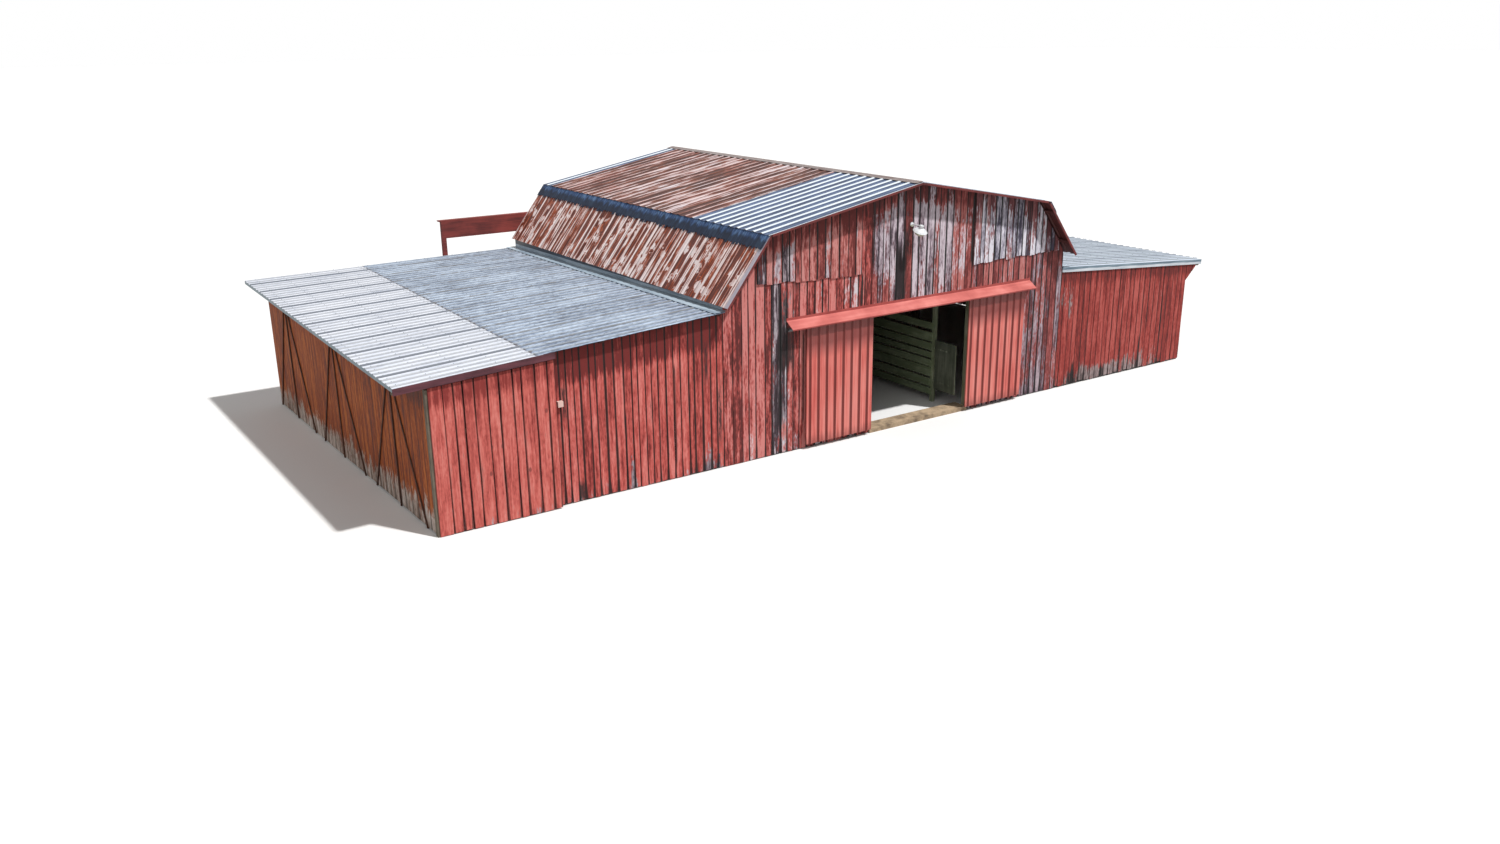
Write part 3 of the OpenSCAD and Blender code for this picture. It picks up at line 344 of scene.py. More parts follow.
class Grower(Tree):
    """A geometry node tree that grows one kind of mesh from named sizes."""

    KINDS = {int: "NodeSocketInt", float: "NodeSocketFloat", tuple: "NodeSocketVector"}

    def __init__(self, name: str, sizes: Sizes) -> None:
        """Starts the tree, whose inputs take their names and types from usual sizes.

        Args:
            name: The tree's name.
            sizes: A usual value for each input.
        """
        group = bpy.data.node_groups.new(name, "GeometryNodeTree")
        face = group.interface
        face.new_socket(name="Geometry", in_out="INPUT", socket_type="NodeSocketGeometry")
        for key, value in sizes.items():
            face.new_socket(name=key, in_out="INPUT",
                            socket_type=self.KINDS[type(value)]).default_value = value
        face.new_socket(name="Material", in_out="INPUT", socket_type="NodeSocketMaterial")
        face.new_socket(name="Geometry", in_out="OUTPUT", socket_type="NodeSocketGeometry")
        super().__init__(group)
        self.start = group.nodes.new("NodeGroupInput")

    def size(self, name: str) -> Wire:
        """Gives one of the named inputs."""
        return Wire(self, self.start.outputs[name])

    def chance(self, low: Number, high: Number, seed: int) -> Wire:
        """Gives each point a random number between two, the same on every run."""
        return self.node("FunctionNodeRandomValue", {"data_type": "FLOAT"}, {
            "Min": low, "Max": high, "Seed": self.size("Seed") * 10.0 + float(seed)}, out="Value")

    def store(self, geometry: Wire, name: str, value: Number) -> Wire:
        """Keeps a number on each point under a name.

        Args:
            geometry: The geometry.
            name: The number's name.
            value: The number.

        Returns:
            The geometry with the number.
        """
        return self.node("GeometryNodeStoreNamedAttribute",
                         {"data_type": "FLOAT", "domain": "POINT"},
                         {"Geometry": geometry, "Name": name, "Value": value})

    def stored(self, name: str) -> Wire:
        """Reads a number that was kept under a name."""
        return self.node("GeometryNodeInputNamedAttribute", {"data_type": "FLOAT"},
                         {"Name": name}, out="Attribute")

    def points(self) -> tuple[Wire, ...]:
        """Gives the coordinates of each point."""
        return self.split(self.node("GeometryNodeInputPosition"))

    def moved(self, geometry: Wire, place: Wire) -> Wire:
        """Moves each point to its place."""
        return self.node("GeometryNodeSetPosition",
                         inputs={"Geometry": geometry, "Position": place})

    def end(self, instances: Wire, shape: Callable[[Wire], Wire] | None = None) -> None:
        """Realizes the instances, shapes the mesh if asked and gives it its material.

        Args:
            instances: The instances.
            shape: What shapes the mesh, if anything does.
        """
        mesh = self.node("GeometryNodeRealizeInstances", inputs={"Geometry": instances})
        if shape:
            mesh = shape(mesh)
        mesh = self.node("GeometryNodeSetMaterial",
                         inputs={"Geometry": mesh, "Material": self.size("Material")})
        self.end_in("NodeGroupOutput", "Geometry", mesh)

    def grow(self, name: str, material: Material, sizes: Sizes,
             place: Matrix = Matrix.Identity(4)) -> Object:
        """Grows one plain mesh.

        Args:
            name: The piece's name.
            material: Its material.
            sizes: Values for the tree's inputs.
            place: Where the mesh goes in the model's frame.

        Returns:
            The piece, at the origin, with its place in its mesh.
        """
        piece = add(name, bpy.data.meshes.new(name))
        modifier = piece.modifiers.new("grow", "NODES")
        modifier.node_group = self.tree
        values = {**sizes, "Material": material}
        for item in self.tree.interface.items_tree:
            if item.item_type == "SOCKET" and item.in_out == "INPUT" and item.name in values:
                modifier[item.identifier] = values[item.name]
        graph = bpy.context.evaluated_depsgraph_get()
        mesh = bpy.data.meshes.new_from_object(piece.evaluated_get(graph),
                                               preserve_all_data_layers=True, depsgraph=graph)
        piece.modifiers.clear()
        mesh.transform(place)
        mesh.name = name
        piece.data = mesh
        return piece


def merge(name: str, pieces: list[Object]) -> Object:
    """Joins pieces, all at the origin, into the first one, which takes the name.

    Args:
        name: Name of the joined piece and its mesh.
        pieces: The pieces.

    Returns:
        The joined piece.
    """
    first = pieces[0]
    if len(pieces) > 1:
        with bpy.context.temp_override(active_object=first, selected_editable_objects=pieces,
                                       selected_objects=pieces, object=first):
            bpy.ops.object.join()
    first.name = name
    first.data.name = name
    return first


def settle(piece: Object, node: str = "") -> None:
    """Makes a finished piece part of the barn.

    Args:
        piece: The piece.
        node: The node that it stands for, if there is one.
    """
    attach(piece, BODY)
    if node:
        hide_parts(node)
    LOG.info("%s stands for %s with %d faces", piece.name, node or "itself",
             len(piece.data.polygons))


class Facing(Enum):
    """Which way a wall's outer face looks."""

    FRONT = (0.0, -1.0)
    REAR = (0.0, 1.0)
    LEFT = (-1.0, 0.0)
    RIGHT = (1.0, 0.0)

    def place(self, shift: Place = (0.0, 0.0, 0.0), turn: float = 0.0) -> Matrix:
        """Gives the frame of a wall: X along it, Y into it, Z up.

        Args:
            shift: Where the frame's origin is.
            turn: Angle of the wall about that origin, anticlockwise from above.

        Returns:
            The frame's matrix.
        """
        up = Vector((0.0, 0.0, 1.0))
        inward = Vector((-self.value[0], -self.value[1], 0.0))
        basis = axes(inward.cross(up), inward, up)
        return Matrix.Translation(shift) @ Matrix.Rotation(turn, 4, "Z") @ basis


@dataclass(frozen=True)
class MainRoof:
    """Section of the main roof, measured to the tops of its ribs."""

    ridge_h: float = 5.660
    break_x: float = 4.070
    break_h: float = 4.910
    foot_x: float = 5.150
    foot_h: float = 3.520
    front_y: float = -0.350
    rear_y: float = 10.400
    board_depth: float = 0.069

    def board_lines(self) -> Lines:
        """Gives the two lines under which the gable boards end: height at the middle and fall.

        Returns:
            The lines of the upper and of the steep slope.
        """
        upper = (self.ridge_h - self.break_h) / self.break_x
        steep = (self.break_h - self.foot_h) / (self.foot_x - self.break_x)
        upper_h = self.ridge_h - self.board_depth * math.hypot(1, upper)
        steep_h = self.break_h + steep * self.break_x - self.board_depth * math.hypot(1, steep)
        return (upper_h, upper), (steep_h, steep)


@dataclass(frozen=True)
class LeanRoof:
    """A lean-to roof: inner and outer distance from the middle and its corner heights."""

    in_x: float
    out_x: float
    front_in: float
    front_out: float
    rear_in: float
    rear_out: float
    front_y: float = -0.160
    rear_y: float = 10.400

    def line(self, y: float, depth: float = 0.0) -> Line:
        """Gives the line across the roof at one place along the barn.

        Args:
            y: Place along the barn.
            depth: Depth under the tops of the ribs.

        Returns:
            The line's height at the middle of the barn and its fall.
        """
        share = (y - self.front_y) / (self.rear_y - self.front_y)
        inner = self.front_in + (self.rear_in - self.front_in) * share
        outer = self.front_out + (self.rear_out - self.front_out) * share
        fall = (inner - outer) / (self.out_x - self.in_x)
        return inner + fall * self.in_x - depth, fall

    def height(self, x: float, y: float) -> float:
        """Gives the height of the rib tops at a distance from the middle."""
        high, fall = self.line(y)
        return high - fall * x


MAIN = MainRoof()
LEFT_ROOF = LeanRoof(5.060, 11.950, 3.410, 2.990, 3.280, 3.205)
RIGHT_ROOF = LeanRoof(5.060, 10.570, 3.165, 2.760, 3.165, 2.760, front_y=-0.030)


@dataclass(frozen=True)
class BoardRow:
    """One stretch of upright boards and the cuts at their heads and feet."""

    start: float
    end: float
    heads: Lines
    width: float = 0.19
    spread: float = 0.28
    gap: float = 0.012
    thick: float = 0.028
    foot: Line = (0.0, 0.0)
    ragged: float = 0.03
    uneven: float = 0.004
    seed: int = 1

    def sizes(self) -> Sizes:
        """Gives the values for the tree's inputs.

        Returns:
            The values, by the names of the inputs.
        """
        return {
            "Boards": max(1, round((self.end - self.start) / self.width)),
            "Start": self.start, "Length": self.end - self.start, "Spread": self.spread,
            "Gap": self.gap, "Thickness": self.thick, "Uneven": self.uneven,
            "Head": self.heads[0][0], "Head Fall": self.heads[0][1],
            "Second Head": self.heads[1][0], "Second Fall": self.heads[1][1],
            "Foot": self.foot[0], "Foot Rise": self.foot[1], "Ragged": self.ragged,
            "Seed": self.seed}


class BoardGrower(Grower):
    """Grows rows of upright boards of random width with ragged feet.

    Each board keeps numbers for its material: tone and luck, its own random shade and wear;
    across, from one edge to the other; and up, from its foot to its head.
    """

    USUAL = BoardRow(0.0, 2.0, ((3.0, 0.0), (3.0, 0.0)))

    def __init__(self) -> None:
        """Builds the tree."""
        super().__init__("upright boards", self.USUAL.sizes())
        points = self.node("GeometryNodeMeshLine", {"mode": "OFFSET"},
                           {"Count": self.size("Boards"), "Offset": (0.0, 0.0, 0.0)})
        share = self.chance(1.0 - self.size("Spread"), 1.0 + self.size("Spread"), 1)
        sums = self.node("GeometryNodeAccumulateField", {"data_type": "FLOAT"},
                         {"Value": share}, out="Trailing")
        scale = self.size("Length") / sums.other("Total")
        wide = share * scale
        left = sums * scale + self.size("Start")
        points = self.store(points, "tone", self.chance(0.0, 1.0, 2))
        points = self.store(points, "luck", self.chance(0.0, 1.0, 3))
        gap = self.size("Gap") * (0.25 + self.chance(0.0, 1.0, 4) ** 3.0)
        set_back = self.size("Uneven") * self.chance(0.0, 1.0, 5)
        thick = self.size("Thickness") - set_back
        middle = self.join(left + wide * 0.5, set_back + thick * 0.5)
        points = self.store(points, "room", wide - gap)
        points = self.moved(self.store(points, "thick", thick), middle)
        boards = self.node("GeometryNodeInstanceOnPoints", inputs={
            "Points": points, "Instance": self._one_board(),
            "Scale": self.join(self.stored("room"), self.stored("thick"), 1.0)})
        self.end(boards, self._cut)

    def _one_board(self) -> Wire:
        """Makes a board one metre on each side, divided so that its foot can be ragged.

        Returns:
            The board, with its numbers across and up.
        """
        cube = self.node("GeometryNodeMeshCube", inputs={
            "Size": (1.0, 1.0, 1.0), "Vertices X": 5, "Vertices Y": 2, "Vertices Z": 7})
        x, _, z = self.points()
        cube = self.store(cube, "across", x + 0.5)
        return self.store(cube, "up", z + 0.5)

    def _spots(self, x: Wire, y: Number, z: Wire, detail: float) -> Wire:
        """Gives soft random spots at a place of one's own."""
        return self.node("ShaderNodeTexNoise", {"noise_dimensions": "3D"},
                         {"Vector": self.join(x, y, z), "Scale": 1.0, "Detail": detail})

    def _cut(self, mesh: Wire) -> Wire:
        """Sets each board's head under the roof lines and its foot on the foot line.

        Args:
            mesh: The uncut boards.

        Returns:
            The cut boards.
        """
        x, y, _ = self.points()
        far = abs(x)
        tone, luck = self.stored("tone"), self.stored("luck")
        head = self.math("MINIMUM", self.size("Head") - self.size("Head Fall") * far,
                         self.size("Second Head") - self.size("Second Fall") * far)
        tear = self.node("ShaderNodeTexNoise", {"noise_dimensions": "1D"},
                         {"W": x * 40.0 + tone * 90.0, "Scale": 1.0, "Detail": 2.0})
        tear = (tear * 0.7 + luck * 0.6) * self.size("Ragged")
        foot = self.size("Foot") + self.size("Foot Rise") * far + tear
        height = foot + (head - foot) * self.stored("up")
        warp = self._spots(tone * 50.0, 0.0, height * 0.6, 0.0)
        inward = (warp - 0.35) * self.size("Uneven") * (1.0 - y / self.size("Thickness"))
        side = self.stored("across") - 0.5
        edge = self._spots(luck * 60.0, side * 9.0, height * 1.3, 1.0)
        narrow = self.math("MAXIMUM", edge - 0.42, 0.0) * self.size("Gap") * 3.0
        return self.moved(mesh, self.join(
            x - side * narrow, y + self.math("MAXIMUM", inward, 0.0), height))


class ScrewGrower(Grower):
    """Grows columns of small washer head screws over a four cornered patch."""

    STRAY = 0.006

    def __init__(self) -> None:
        """Builds the tree."""
        super().__init__("screw rows", {
            "Columns": 8, "Rows": 3, "First Low": (0.0, 0.0, 0.0), "Last Low": (1.0, 0.0, 0.0),
            "First High": (0.0, 1.0, 0.0), "Last High": (1.0, 1.0, 0.0),
            "Head Radius": 0.011, "Seed": 1})
        grid = self.node("GeometryNodeMeshGrid", inputs={
            "Size X": 1.0, "Size Y": 1.0, "Vertices X": self.size("Columns"),
            "Vertices Y": self.size("Rows")})
        x, y, _ = self.points()
        low, high = (self._between(self.size(f"First {end}"), self.size(f"Last {end}"), x + 0.5)
                     for end in ("Low", "High"))
        stray = self.join(*(self.chance(-self.STRAY, self.STRAY, seed) for seed in (1, 2)))
        place = self.vector("ADD", self._between(low, high, y + 0.5), stray)
        radius = self.size("Head Radius")
        head = self.node("GeometryNodeMeshCone", inputs={
            "Vertices": 7, "Radius Top": radius * 0.45, "Radius Bottom": radius,
            "Depth": radius * 0.7})
        self.end(self.node("GeometryNodeInstanceOnPoints", inputs={
            "Points": self.moved(grid, place), "Instance": head}))

    def _between(self, first: Wire, last: Wire, share: Wire) -> Wire:
        """Gives the place at a share of the way from one place to another."""
        return self.vector("ADD", first, self.scale(self.vector("SUBTRACT", last, first), share))


class Axis(Enum):
    """Axis along which grain or streaks run."""

    X = 0
    Y = 1
    Z = 2

    def fine(self, length: float) -> Place:
        """Gives the stretch of a noise that is drawn out along the axis."""
        return tuple(length if axis == self.value else 1.0 for axis in range(3))


@dataclass(frozen=True)
class Stain:
    """A soft upright patch on a wall: its middle, its half sizes and how strong it is."""

    x: float
    z: float
    half_w: float
    half_h: float
    strength: float = 1.0

    def mask(self, s: Surface, rough: Wire) -> Wire:
        """Masks the stain, which fades out in streaks."""
        wide, high = abs(s.x - self.x) / self.half_w, abs(s.z - self.z) / self.half_h
        return s.drop(s.math("MAXIMUM", wide, high) + rough * 3.0, 0.85, 1.1) * self.strength


@dataclass(frozen=True)
class Slit:
    """An open joint between two boards: its place, its lower and upper end and its width."""

    x: float
    low: float
    high: float
    width: float = 0.035

    def mask(self, s: Surface, rough: Wire) -> Wire:
        """Masks the joint, whose sides wander a little.

        Args:
            s: The surface.
            rough: Random streaks.

        Returns:
            The mask, 1 in the joint.
        """
        middle, half = (self.low + self.high) / 2, (self.high - self.low) / 2
        near = s.drop(abs(s.x - self.x) + rough * 0.03, self.width / 2, 0.02)
        return near * s.drop(abs(s.z - middle) + rough * 0.3, half, 0.15)


@dataclass(frozen=True)
class BoardPaint:
    """Barn paint on rough boards, worn down to bare wood in streaks."""

    paint: str = "7b2f2c b4544c dd857c"
    wood: str = "4d4048 9b8a91 d3c6cb"
    rot_and_shade: str = "1d1214"
    wear: float = 0.0
    spread: float = 0.3
    patchy: float = 1.0
    contrast: float = 1.0
    boards: float = 0.6
    foot_h: float = 0.45
    foot_wear: float = 0.5
    rim: float = 0.93
    rim_from: float = 0.425
    shelter_and_shade: float = 0.3
    shelter_and_shade_h: float = 0.36
    knots: float = 0.0
    dark: tuple[Stain, ...] = ()
    pale: tuple[Stain, ...] = ()
    slits: tuple[Slit, ...] = ()

    def _under_roof(self, s: Surface, heads: Lines, along: Wire, rough: Wire) -> Wire:
        """Masks the band under the roof, which wears less and is darkened as painted eave shade.

        Args:
            s: The surface.
            heads: The lines along which the boards end at the top.
            along: Place along the wall.
            rough: Random streaks.

        Returns:
            The mask, 1 right under the roof.
        """
        far = abs(along)
        roof = s.math("MINIMUM", *(high - far * fall for high, fall in heads))
        return s.drop(roof - s.z + rough * 0.4, self.shelter_and_shade_h, 0.2)

    @staticmethod
    def _knots(s: Surface, tone: Wire) -> Wire:
        """Masks small dark knots.

        Args:
            s: The surface.
            tone: Each board's own number.

        Returns:
            The mask, 1 in a knot.
        """
        place = s.vector("ADD", s.vector("MULTIPLY", s.place, (1.0, 0.0, 0.6)),
                         s.scale((7.0, 3.0, 9.0), tone))
        near = s.node("ShaderNodeTexVoronoi", inputs={"Vector": place, "Scale": 3.0},
                      out="Distance")
        return s.drop(near, 0.085, 0.05)

    def material(self, name: str, heads: Lines, along_y: bool) -> Material:
        """Builds the material.

        Args:
            name: Its name.
            heads: The lines along which the boards end at the top.
            along_y: Whether the wall runs along the barn.

        Returns:
            The material, which reads the numbers that each board keeps.
        """
        s = Surface(name)
        tone, across, luck = (s.attribute(key) for key in ("tone", "across", "luck"))
        grain, streak, broad, patch, speck = (
            s.noise(scale, Axis.Z.fine(length), detail, tone) for scale, length, detail in
            ((60.0, 0.03, 2.0), (21.0, 0.05, 3.0), (8.0, 0.15, 3.0), (2.6, 0.45, 4.0),
             (30.0, 0.3, 2.0)))
        dark, pale, opened = (s.most(mark.mask(s, streak) for mark in marks)
                              for marks in (self.dark, self.pale, self.slits))
        foot = s.drop(s.z + streak * 0.9, self.foot_h * 0.55, self.foot_h)
        # Under the roof the boards wear less, and the paint there is darkened as painted shade
        # from the eaves.
        sheltered_and_shaded = self._under_roof(s, heads, s.y if along_y else s.x, streak) * self.shelter_and_shade
        fine = streak * 1.2 + grain * 0.5 + speck * 0.8
        worn = (self.wear + (luck - 0.5) * self.spread + patch * 1.5 * self.patchy + fine
                + foot * self.foot_wear + pale - sheltered_and_shaded)
        bare = s.step(worn, 0.5, 0.22)
        shade = ((tone - 0.5) * self.boards + broad * 1.3 + fine) * self.contrast
        paint = s.blend(self.paint, shade + 0.52 - sheltered_and_shaded)
        wood = s.blend(self.wood, shade * 1.25 + 0.5 + pale * 0.15 - dark * 0.6 - foot * 0.06)
        # Rotted wood and the dark stains, some of which are painted shadows, take this dark
        # colour.
        rot_and_shade_mask = dark * (0.66 + luck * 0.6) + streak * 2.2 + grain + speck * 0.8
        colour = s.mix(s.mix(paint, wood, bare), self.rot_and_shade, s.step(rot_and_shade_mask, 0.62, 0.4) * 0.93)
        if self.knots:
            colour = s.mix(colour, "4a2020", self._knots(s, tone) * self.knots)
        rift = s.drop(s.z + streak * 0.5, 0.15, 0.5) * luck * 0.16
        rim = s.step(abs(across - 0.5) + streak * 0.22 + (luck - 0.5) * 0.10 + rift,
                     self.rim_from, 0.05)
        colour = s.mix(s.darken(colour, rim * self.rim), "0d0808", opened)
        relief = grain * 0.6 + streak * 0.4 - rim * 0.5
        return s.finish(colour, 0.78 + bare * 0.14, relief=relief, depth=0.004)


class Finish:
    """A look that covers whole nodes of the model."""

    def build(self, s: Surface) -> Material:
        """Fills an empty surface."""
        raise NotImplementedError

    def cover(self, name: str, nodes: tuple[str, ...]) -> None:
        """Gives carried-over nodes one new material of this name.

        Args:
            name: The material's name.
            nodes: The nodes.
        """
        material = self.build(Surface(name))
        for node in nodes:
            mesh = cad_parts[node].data
            mesh.materials.clear()
            mesh.materials.append(material)
            LOG.info("%s has the finish %s", node, name)


@dataclass(frozen=True)
class Timber(Finish):
    """Rough sawn framing timber, grey brown with a grain along one axis."""

    light: str = "8d8271"
    dark: str = "4b4238"
    axis: Axis = Axis.Z
    green: float = 0.0
    soffit_shade_to: float | None = None
    board_w: float = 0.0

    def build(self, s: Surface) -> Material:
        """Lays grain, moss, board joints and painted soffit shade over each other.

        Args:
            s: The surface.

        Returns:
            Its material.
        """
        grain, streak = s.noise(80.0, self.axis.fine(0.03)), s.noise(14.0, self.axis.fine(0.08))
        patch = s.noise(2.2)
        colour = s.mix(self.light, self.dark,
                       s.step(grain * 0.5 + streak * 0.5 + patch * 0.6, 0.02, 0.35))
        if self.green:
            colour = s.mix(colour, "6f7d58", s.step(patch + streak, 0.0, 0.3) * self.green)
        if self.board_w:
            turn = abs(s.repeat(s.x, self.board_w / 2, self.board_w))
            colour = s.darken(colour, s.step(turn + streak * 0.1, 0.45, 0.05) * 0.75)
        # Painted shade on the timber ends in front of the gable, under the roof's overhang.
        if self.soffit_shade_to is not None:
            colour = s.mix(SOFFIT_SHADE, colour, s.step(s.y, self.soffit_shade_to, 0.01))
        return s.finish(colour, 0.9, relief=grain * 0.6 + streak * 0.4, depth=0.003)


@dataclass(frozen=True)
class Ribs:
    """Ribs of a roof: the first one along the barn, their pitch and a rib's share of it."""

    first: float
    pitch: float
    share: float


MAIN_RIBS = Ribs(-0.075, 0.300, 0.43)
LEFT_RIBS = Ribs(-0.0325, 0.229, 0.26)
RIGHT_RIBS = Ribs(0.147, 0.229, 0.26)
SEAM_X = 9.240


@dataclass(frozen=True)
class RibbedSheet(Finish):
    """Ribbed sheet, with the finish that its ribs carry."""

    ribs: Ribs

    def _rib(self, s: Surface) -> Wire:
        """Gives 0 on a rib's middle line and 1 halfway between two ribs."""
        return abs(s.repeat(s.y, self.ribs.first, self.ribs.pitch)) * 2.0

    def _flank(self, s: Surface, width: float, every: int = 1, first: int = 0) -> Wire:
        """Masks the line at the front foot of every so many ribs, counted from the first.

        Args:
            s: The surface.
            width: The line's width in metres.
            every: Ribs from one line to the next.
            first: The first rib that has a line.

        Returns:
            The mask, 1 on the lines.
        """
        ribs = self.ribs
        step = ribs.pitch * every
        turn = s.repeat(s.y, ribs.first + ribs.pitch * first, step)
        return s.drop(abs(turn * step + ribs.pitch * ribs.share / 2), width / 2, 0.014)

    @staticmethod
    def _end(s: Surface, colour: Wire, rough: float, metal: float = 0.0) -> Material:
        """Finishes the sheet, and darkens what looks down as painted shade."""
        return s.finish(s.mix(SOFFIT_SHADE, colour, s.step(s.upward(), -0.1, 0.1)), rough, metal)


@dataclass(frozen=True)
class UpperSheet(RibbedSheet):
    """Rusted sheets of the upper slope, with strips of zinc at both ends of the barn."""

    zinc_front: float = 2.58
    zinc_rear: float = 9.89

    def _rust(self, s: Surface, rib: Wire) -> Wire:
        """Colours the rust, paler on the rib crests as a painted highlight.

        Args:
            s: The surface.
            rib: Distance from a rib's middle line, from 0 to 1.

        Returns:
            The rust's colour.
        """
        fine = s.noise(26.0, (0.04, 1.0, 0.04))
        streak = s.noise(9.0, (0.10, 1.0, 0.10))
        band = s.noise(2.6, (0.05, 1.0, 0.05), 1.0)
        patch = s.noise(1.5, (0.8, 1.4, 0.8), 4.0)
        crumb = s.noise(13.0, (0.3, 1.0, 0.3), 2.0)
        red = s.step(s.noise(0.7, detail=2.0) + streak * 0.6, 0.0, 0.25)
        # The rib crests are lighter: a painted highlight.
        value = (0.25 + band * 1.5 + fine * 2.0 + streak * 2.0 + patch * 1.3 + crumb * 0.8
                 + s.drop(rib, 0.2, 0.12) * 0.6)
        pale = s.blend("471f14 875039 dfd3d8", value)
        return s.mix(pale, s.blend("45170a 893c23 dcc4c2", value), red * 0.85)

    def _zinc(self, s: Surface, rib: Wire) -> Wire:
        """Colours bright ribs and dull blue pans as painted highlight and painted shade.

        Args:
            s: The surface.
            rib: Distance from a rib's middle line, from 0 to 1.

        Returns:
            The zinc's colour.
        """
        cloud, fine = s.noise(3.0, (0.3, 1.0, 0.3)), s.noise(40.0, (0.05, 1.0, 0.05), 2.0)
        # The bright ribs are a painted highlight and the dark blue pans are painted shade.
        pan = s.step(rib + cloud * 0.12, self.ribs.share - 0.11, 0.07)
        pans = s.blend("202d46 3f5273 6d7fa0", rib * 0.5 + 0.1 + fine * 1.4 + cloud)
        return s.mix("e9f1f8", pans, pan)

    def build(self, s: Surface) -> Material:
        """Lays the zinc strips over the rust.

        Args:
            s: The surface.

        Returns:
            Its material.
        """
        rib = self._rib(s)
        # Darkens the front foot of each rib: painted shade.
        rust = s.darken(self._rust(s, rib), self._flank(s, 0.028) * 0.5)
        y = s.y + s.noise(3.0, (1.0, 0.4, 1.0)) * 0.08
        zinc = s.math("MAXIMUM", s.drop(y, self.zinc_front, 0.01),
                      s.step(y, self.zinc_rear, 0.01))
        return self._end(s, s.mix(rust, self._zinc(s, rib), zinc), 0.6)


@dataclass(frozen=True)
class SteepSheet(RibbedSheet):
    """Rusted sheets of the steep slope, with long pale streaks, pale ribs and round blots."""

    rake_end: float = MAIN.front_y + 0.12

    @staticmethod
    def _blots(s: Surface) -> Wire:
        """Masks scattered round pale blots.

        Args:
            s: The surface.

        Returns:
            The mask, 1 in a blot.
        """
        ragged = s.noise(9.0) * 1.1
        near = s.node("ShaderNodeTexVoronoi", {"voronoi_dimensions": "2D"}, {
            "Vector": s.join(s.y * 3.0 + ragged, s.z * 3.2 + ragged), "Scale": 1.0},
            out="Distance")
        return s.drop(near, 0.31, 0.14) * s.step(s.noise(0.9, detail=1.0), -0.04, 0.1)

    def build(self, s: Surface) -> Material:
        """Lays streaks and blots over the rust, and the pale strip along the rake.

        Args:
            s: The surface.

        Returns:
            Its material.
        """
        runs, fine = (s.noise(scale, (0.03, 1.0, 0.03), 2.0) for scale in (9.0, 26.0))
        broken, patch = s.noise(6.0, (0.5, 1.0, 0.5)), s.noise(1.3)
        line = s.drop(abs(self._rib(s) - self.ribs.share * 0.6), 0.10, 0.10)
        value = 0.31 + runs * 3.6 + fine * 1.9 + broken * 1.3 + patch * 0.9 + line * 0.42
        value = s.math("MAXIMUM", value, self._blots(s) * (0.8 + broken * 0.8))
        colour = s.blend("541a08 a2481f f3e2df", value)
        # Darkens the front foot of each rib: painted shade.
        colour = s.darken(colour, self._flank(s, 0.028) * 0.5)
        return self._end(s, s.mix(colour, "bdb8c4", s.drop(s.y, self.rake_end, 0.01) * 0.9), 0.6)


@dataclass(frozen=True)
class WhiteSheet(RibbedSheet):
    """White painted lean-to sheets: painted shade by each rib, a strong lap at every fourth rib.
    """

    sheet: str = "9ba4b8 e0e5f0 f4f7ff"
    lap_dark: float = 0.9

    def _marks(self, s: Surface) -> tuple[Wire, ...]:
        """Gives clouds, streaks, spots, the painted shade beside the ribs and the laps.

        Args:
            s: The surface.

        Returns:
            The five values, in that order.
        """
        return (s.noise(1.3, Axis.X.fine(0.5), 4.0), s.noise(9.0, Axis.X.fine(0.06)),
                s.noise(22.0, Axis.X.fine(0.35), 2.0), self._flank(s, 0.048),
                self._flank(s, 0.07, every=4, first=3) * self.lap_dark)

    def build(self, s: Surface) -> Material:
        """Lays the dark lines over the paint.

        Args:
            s: The surface.

        Returns:
            Its material.
        """
        cloud, streak, spot, rib_shade, lap = self._marks(s)
        colour = s.blend(self.sheet, 0.6 + streak * 0.9 + cloud * 0.7 + spot * 0.7)
        # Painted shade beside each rib, then the dark laps.
        return self._end(s, s.mix(s.darken(colour, rib_shade * 0.58), "3c4554", lap), 0.5)


@dataclass(frozen=True)
class GreySheet(WhiteSheet):
    """Bluish grey sheets: crests with painted highlights, rusty laps, a darker outer edge."""

    sheet: str = "5f6b80 9eafc7 ccdcf0"
    edge_x: float = SEAM_X - 0.03

    def build(self, s: Surface) -> Material:
        """Lays dirt, crests and rusty laps over the sheet.

        Args:
            s: The surface.

        Returns:
            Its material.
        """
        cloud, streak, spot, rib_shade, lap = self._marks(s)
        colour = s.blend(self.sheet, 0.54 + streak * 1.4 + cloud * 1.1 + spot * 1.6)
        # Darker rust-brown outer edge: partly rust, partly painted shade where the inner sheets
        # lap over the outer ones.
        colour = s.mix(colour, "4a3b3a", s.step(abs(s.x) + spot * 0.3, self.edge_x, 0.03) * 0.9)
        # Lighter rib crests: a painted highlight.
        colour = s.mix(colour, "dce7f2", s.drop(self._rib(s), 0.14, 0.1) * 0.6)
        rusty = s.step(s.noise(5.0, Axis.Y.fine(0.5), 2.0), -0.05, 0.15)
        colour = s.mix(s.darken(colour, rib_shade * 0.66), "4a4848", lap * rusty * 0.7)
        return self._end(s, colour, 0.5, 0.1)


@dataclass(frozen=True)
class Flashing(Finish):
    """Dull blue strip under the break, uneven dark tongues below, a painted shadow along its top.
    """

    depth: float = 0.237

    def build(self, s: Surface) -> Material:
        """Lays dark tongues and a painted shadow along the top over the steel.

        Args:
            s: The surface.

        Returns:
            Its material.
        """
        cloud, tongue = s.noise(3.0), s.noise(6.5, (0.0, 1.0, 0.0))
        line = s.noise(30.0, (0.02, 1.0, 0.02), 2.0)
        down = (MAIN.break_h - s.z) / self.depth
        dark_tongues = s.step(down + tongue * 1.5 + line * 0.4, 0.52, 0.22)
        steel = s.blend("1d2c45 38517a 6482a8", 0.5 + cloud * 1.2 + line * 1.6)
        # The dark line along the top is the painted shadow of the upper sheets' edge.
        dark = s.math("MAXIMUM", dark_tongues * 0.84, s.drop(down, 0.10, 0.06) * 0.9)
        return s.finish(s.mix(steel, "070c1a", dark), 0.9)


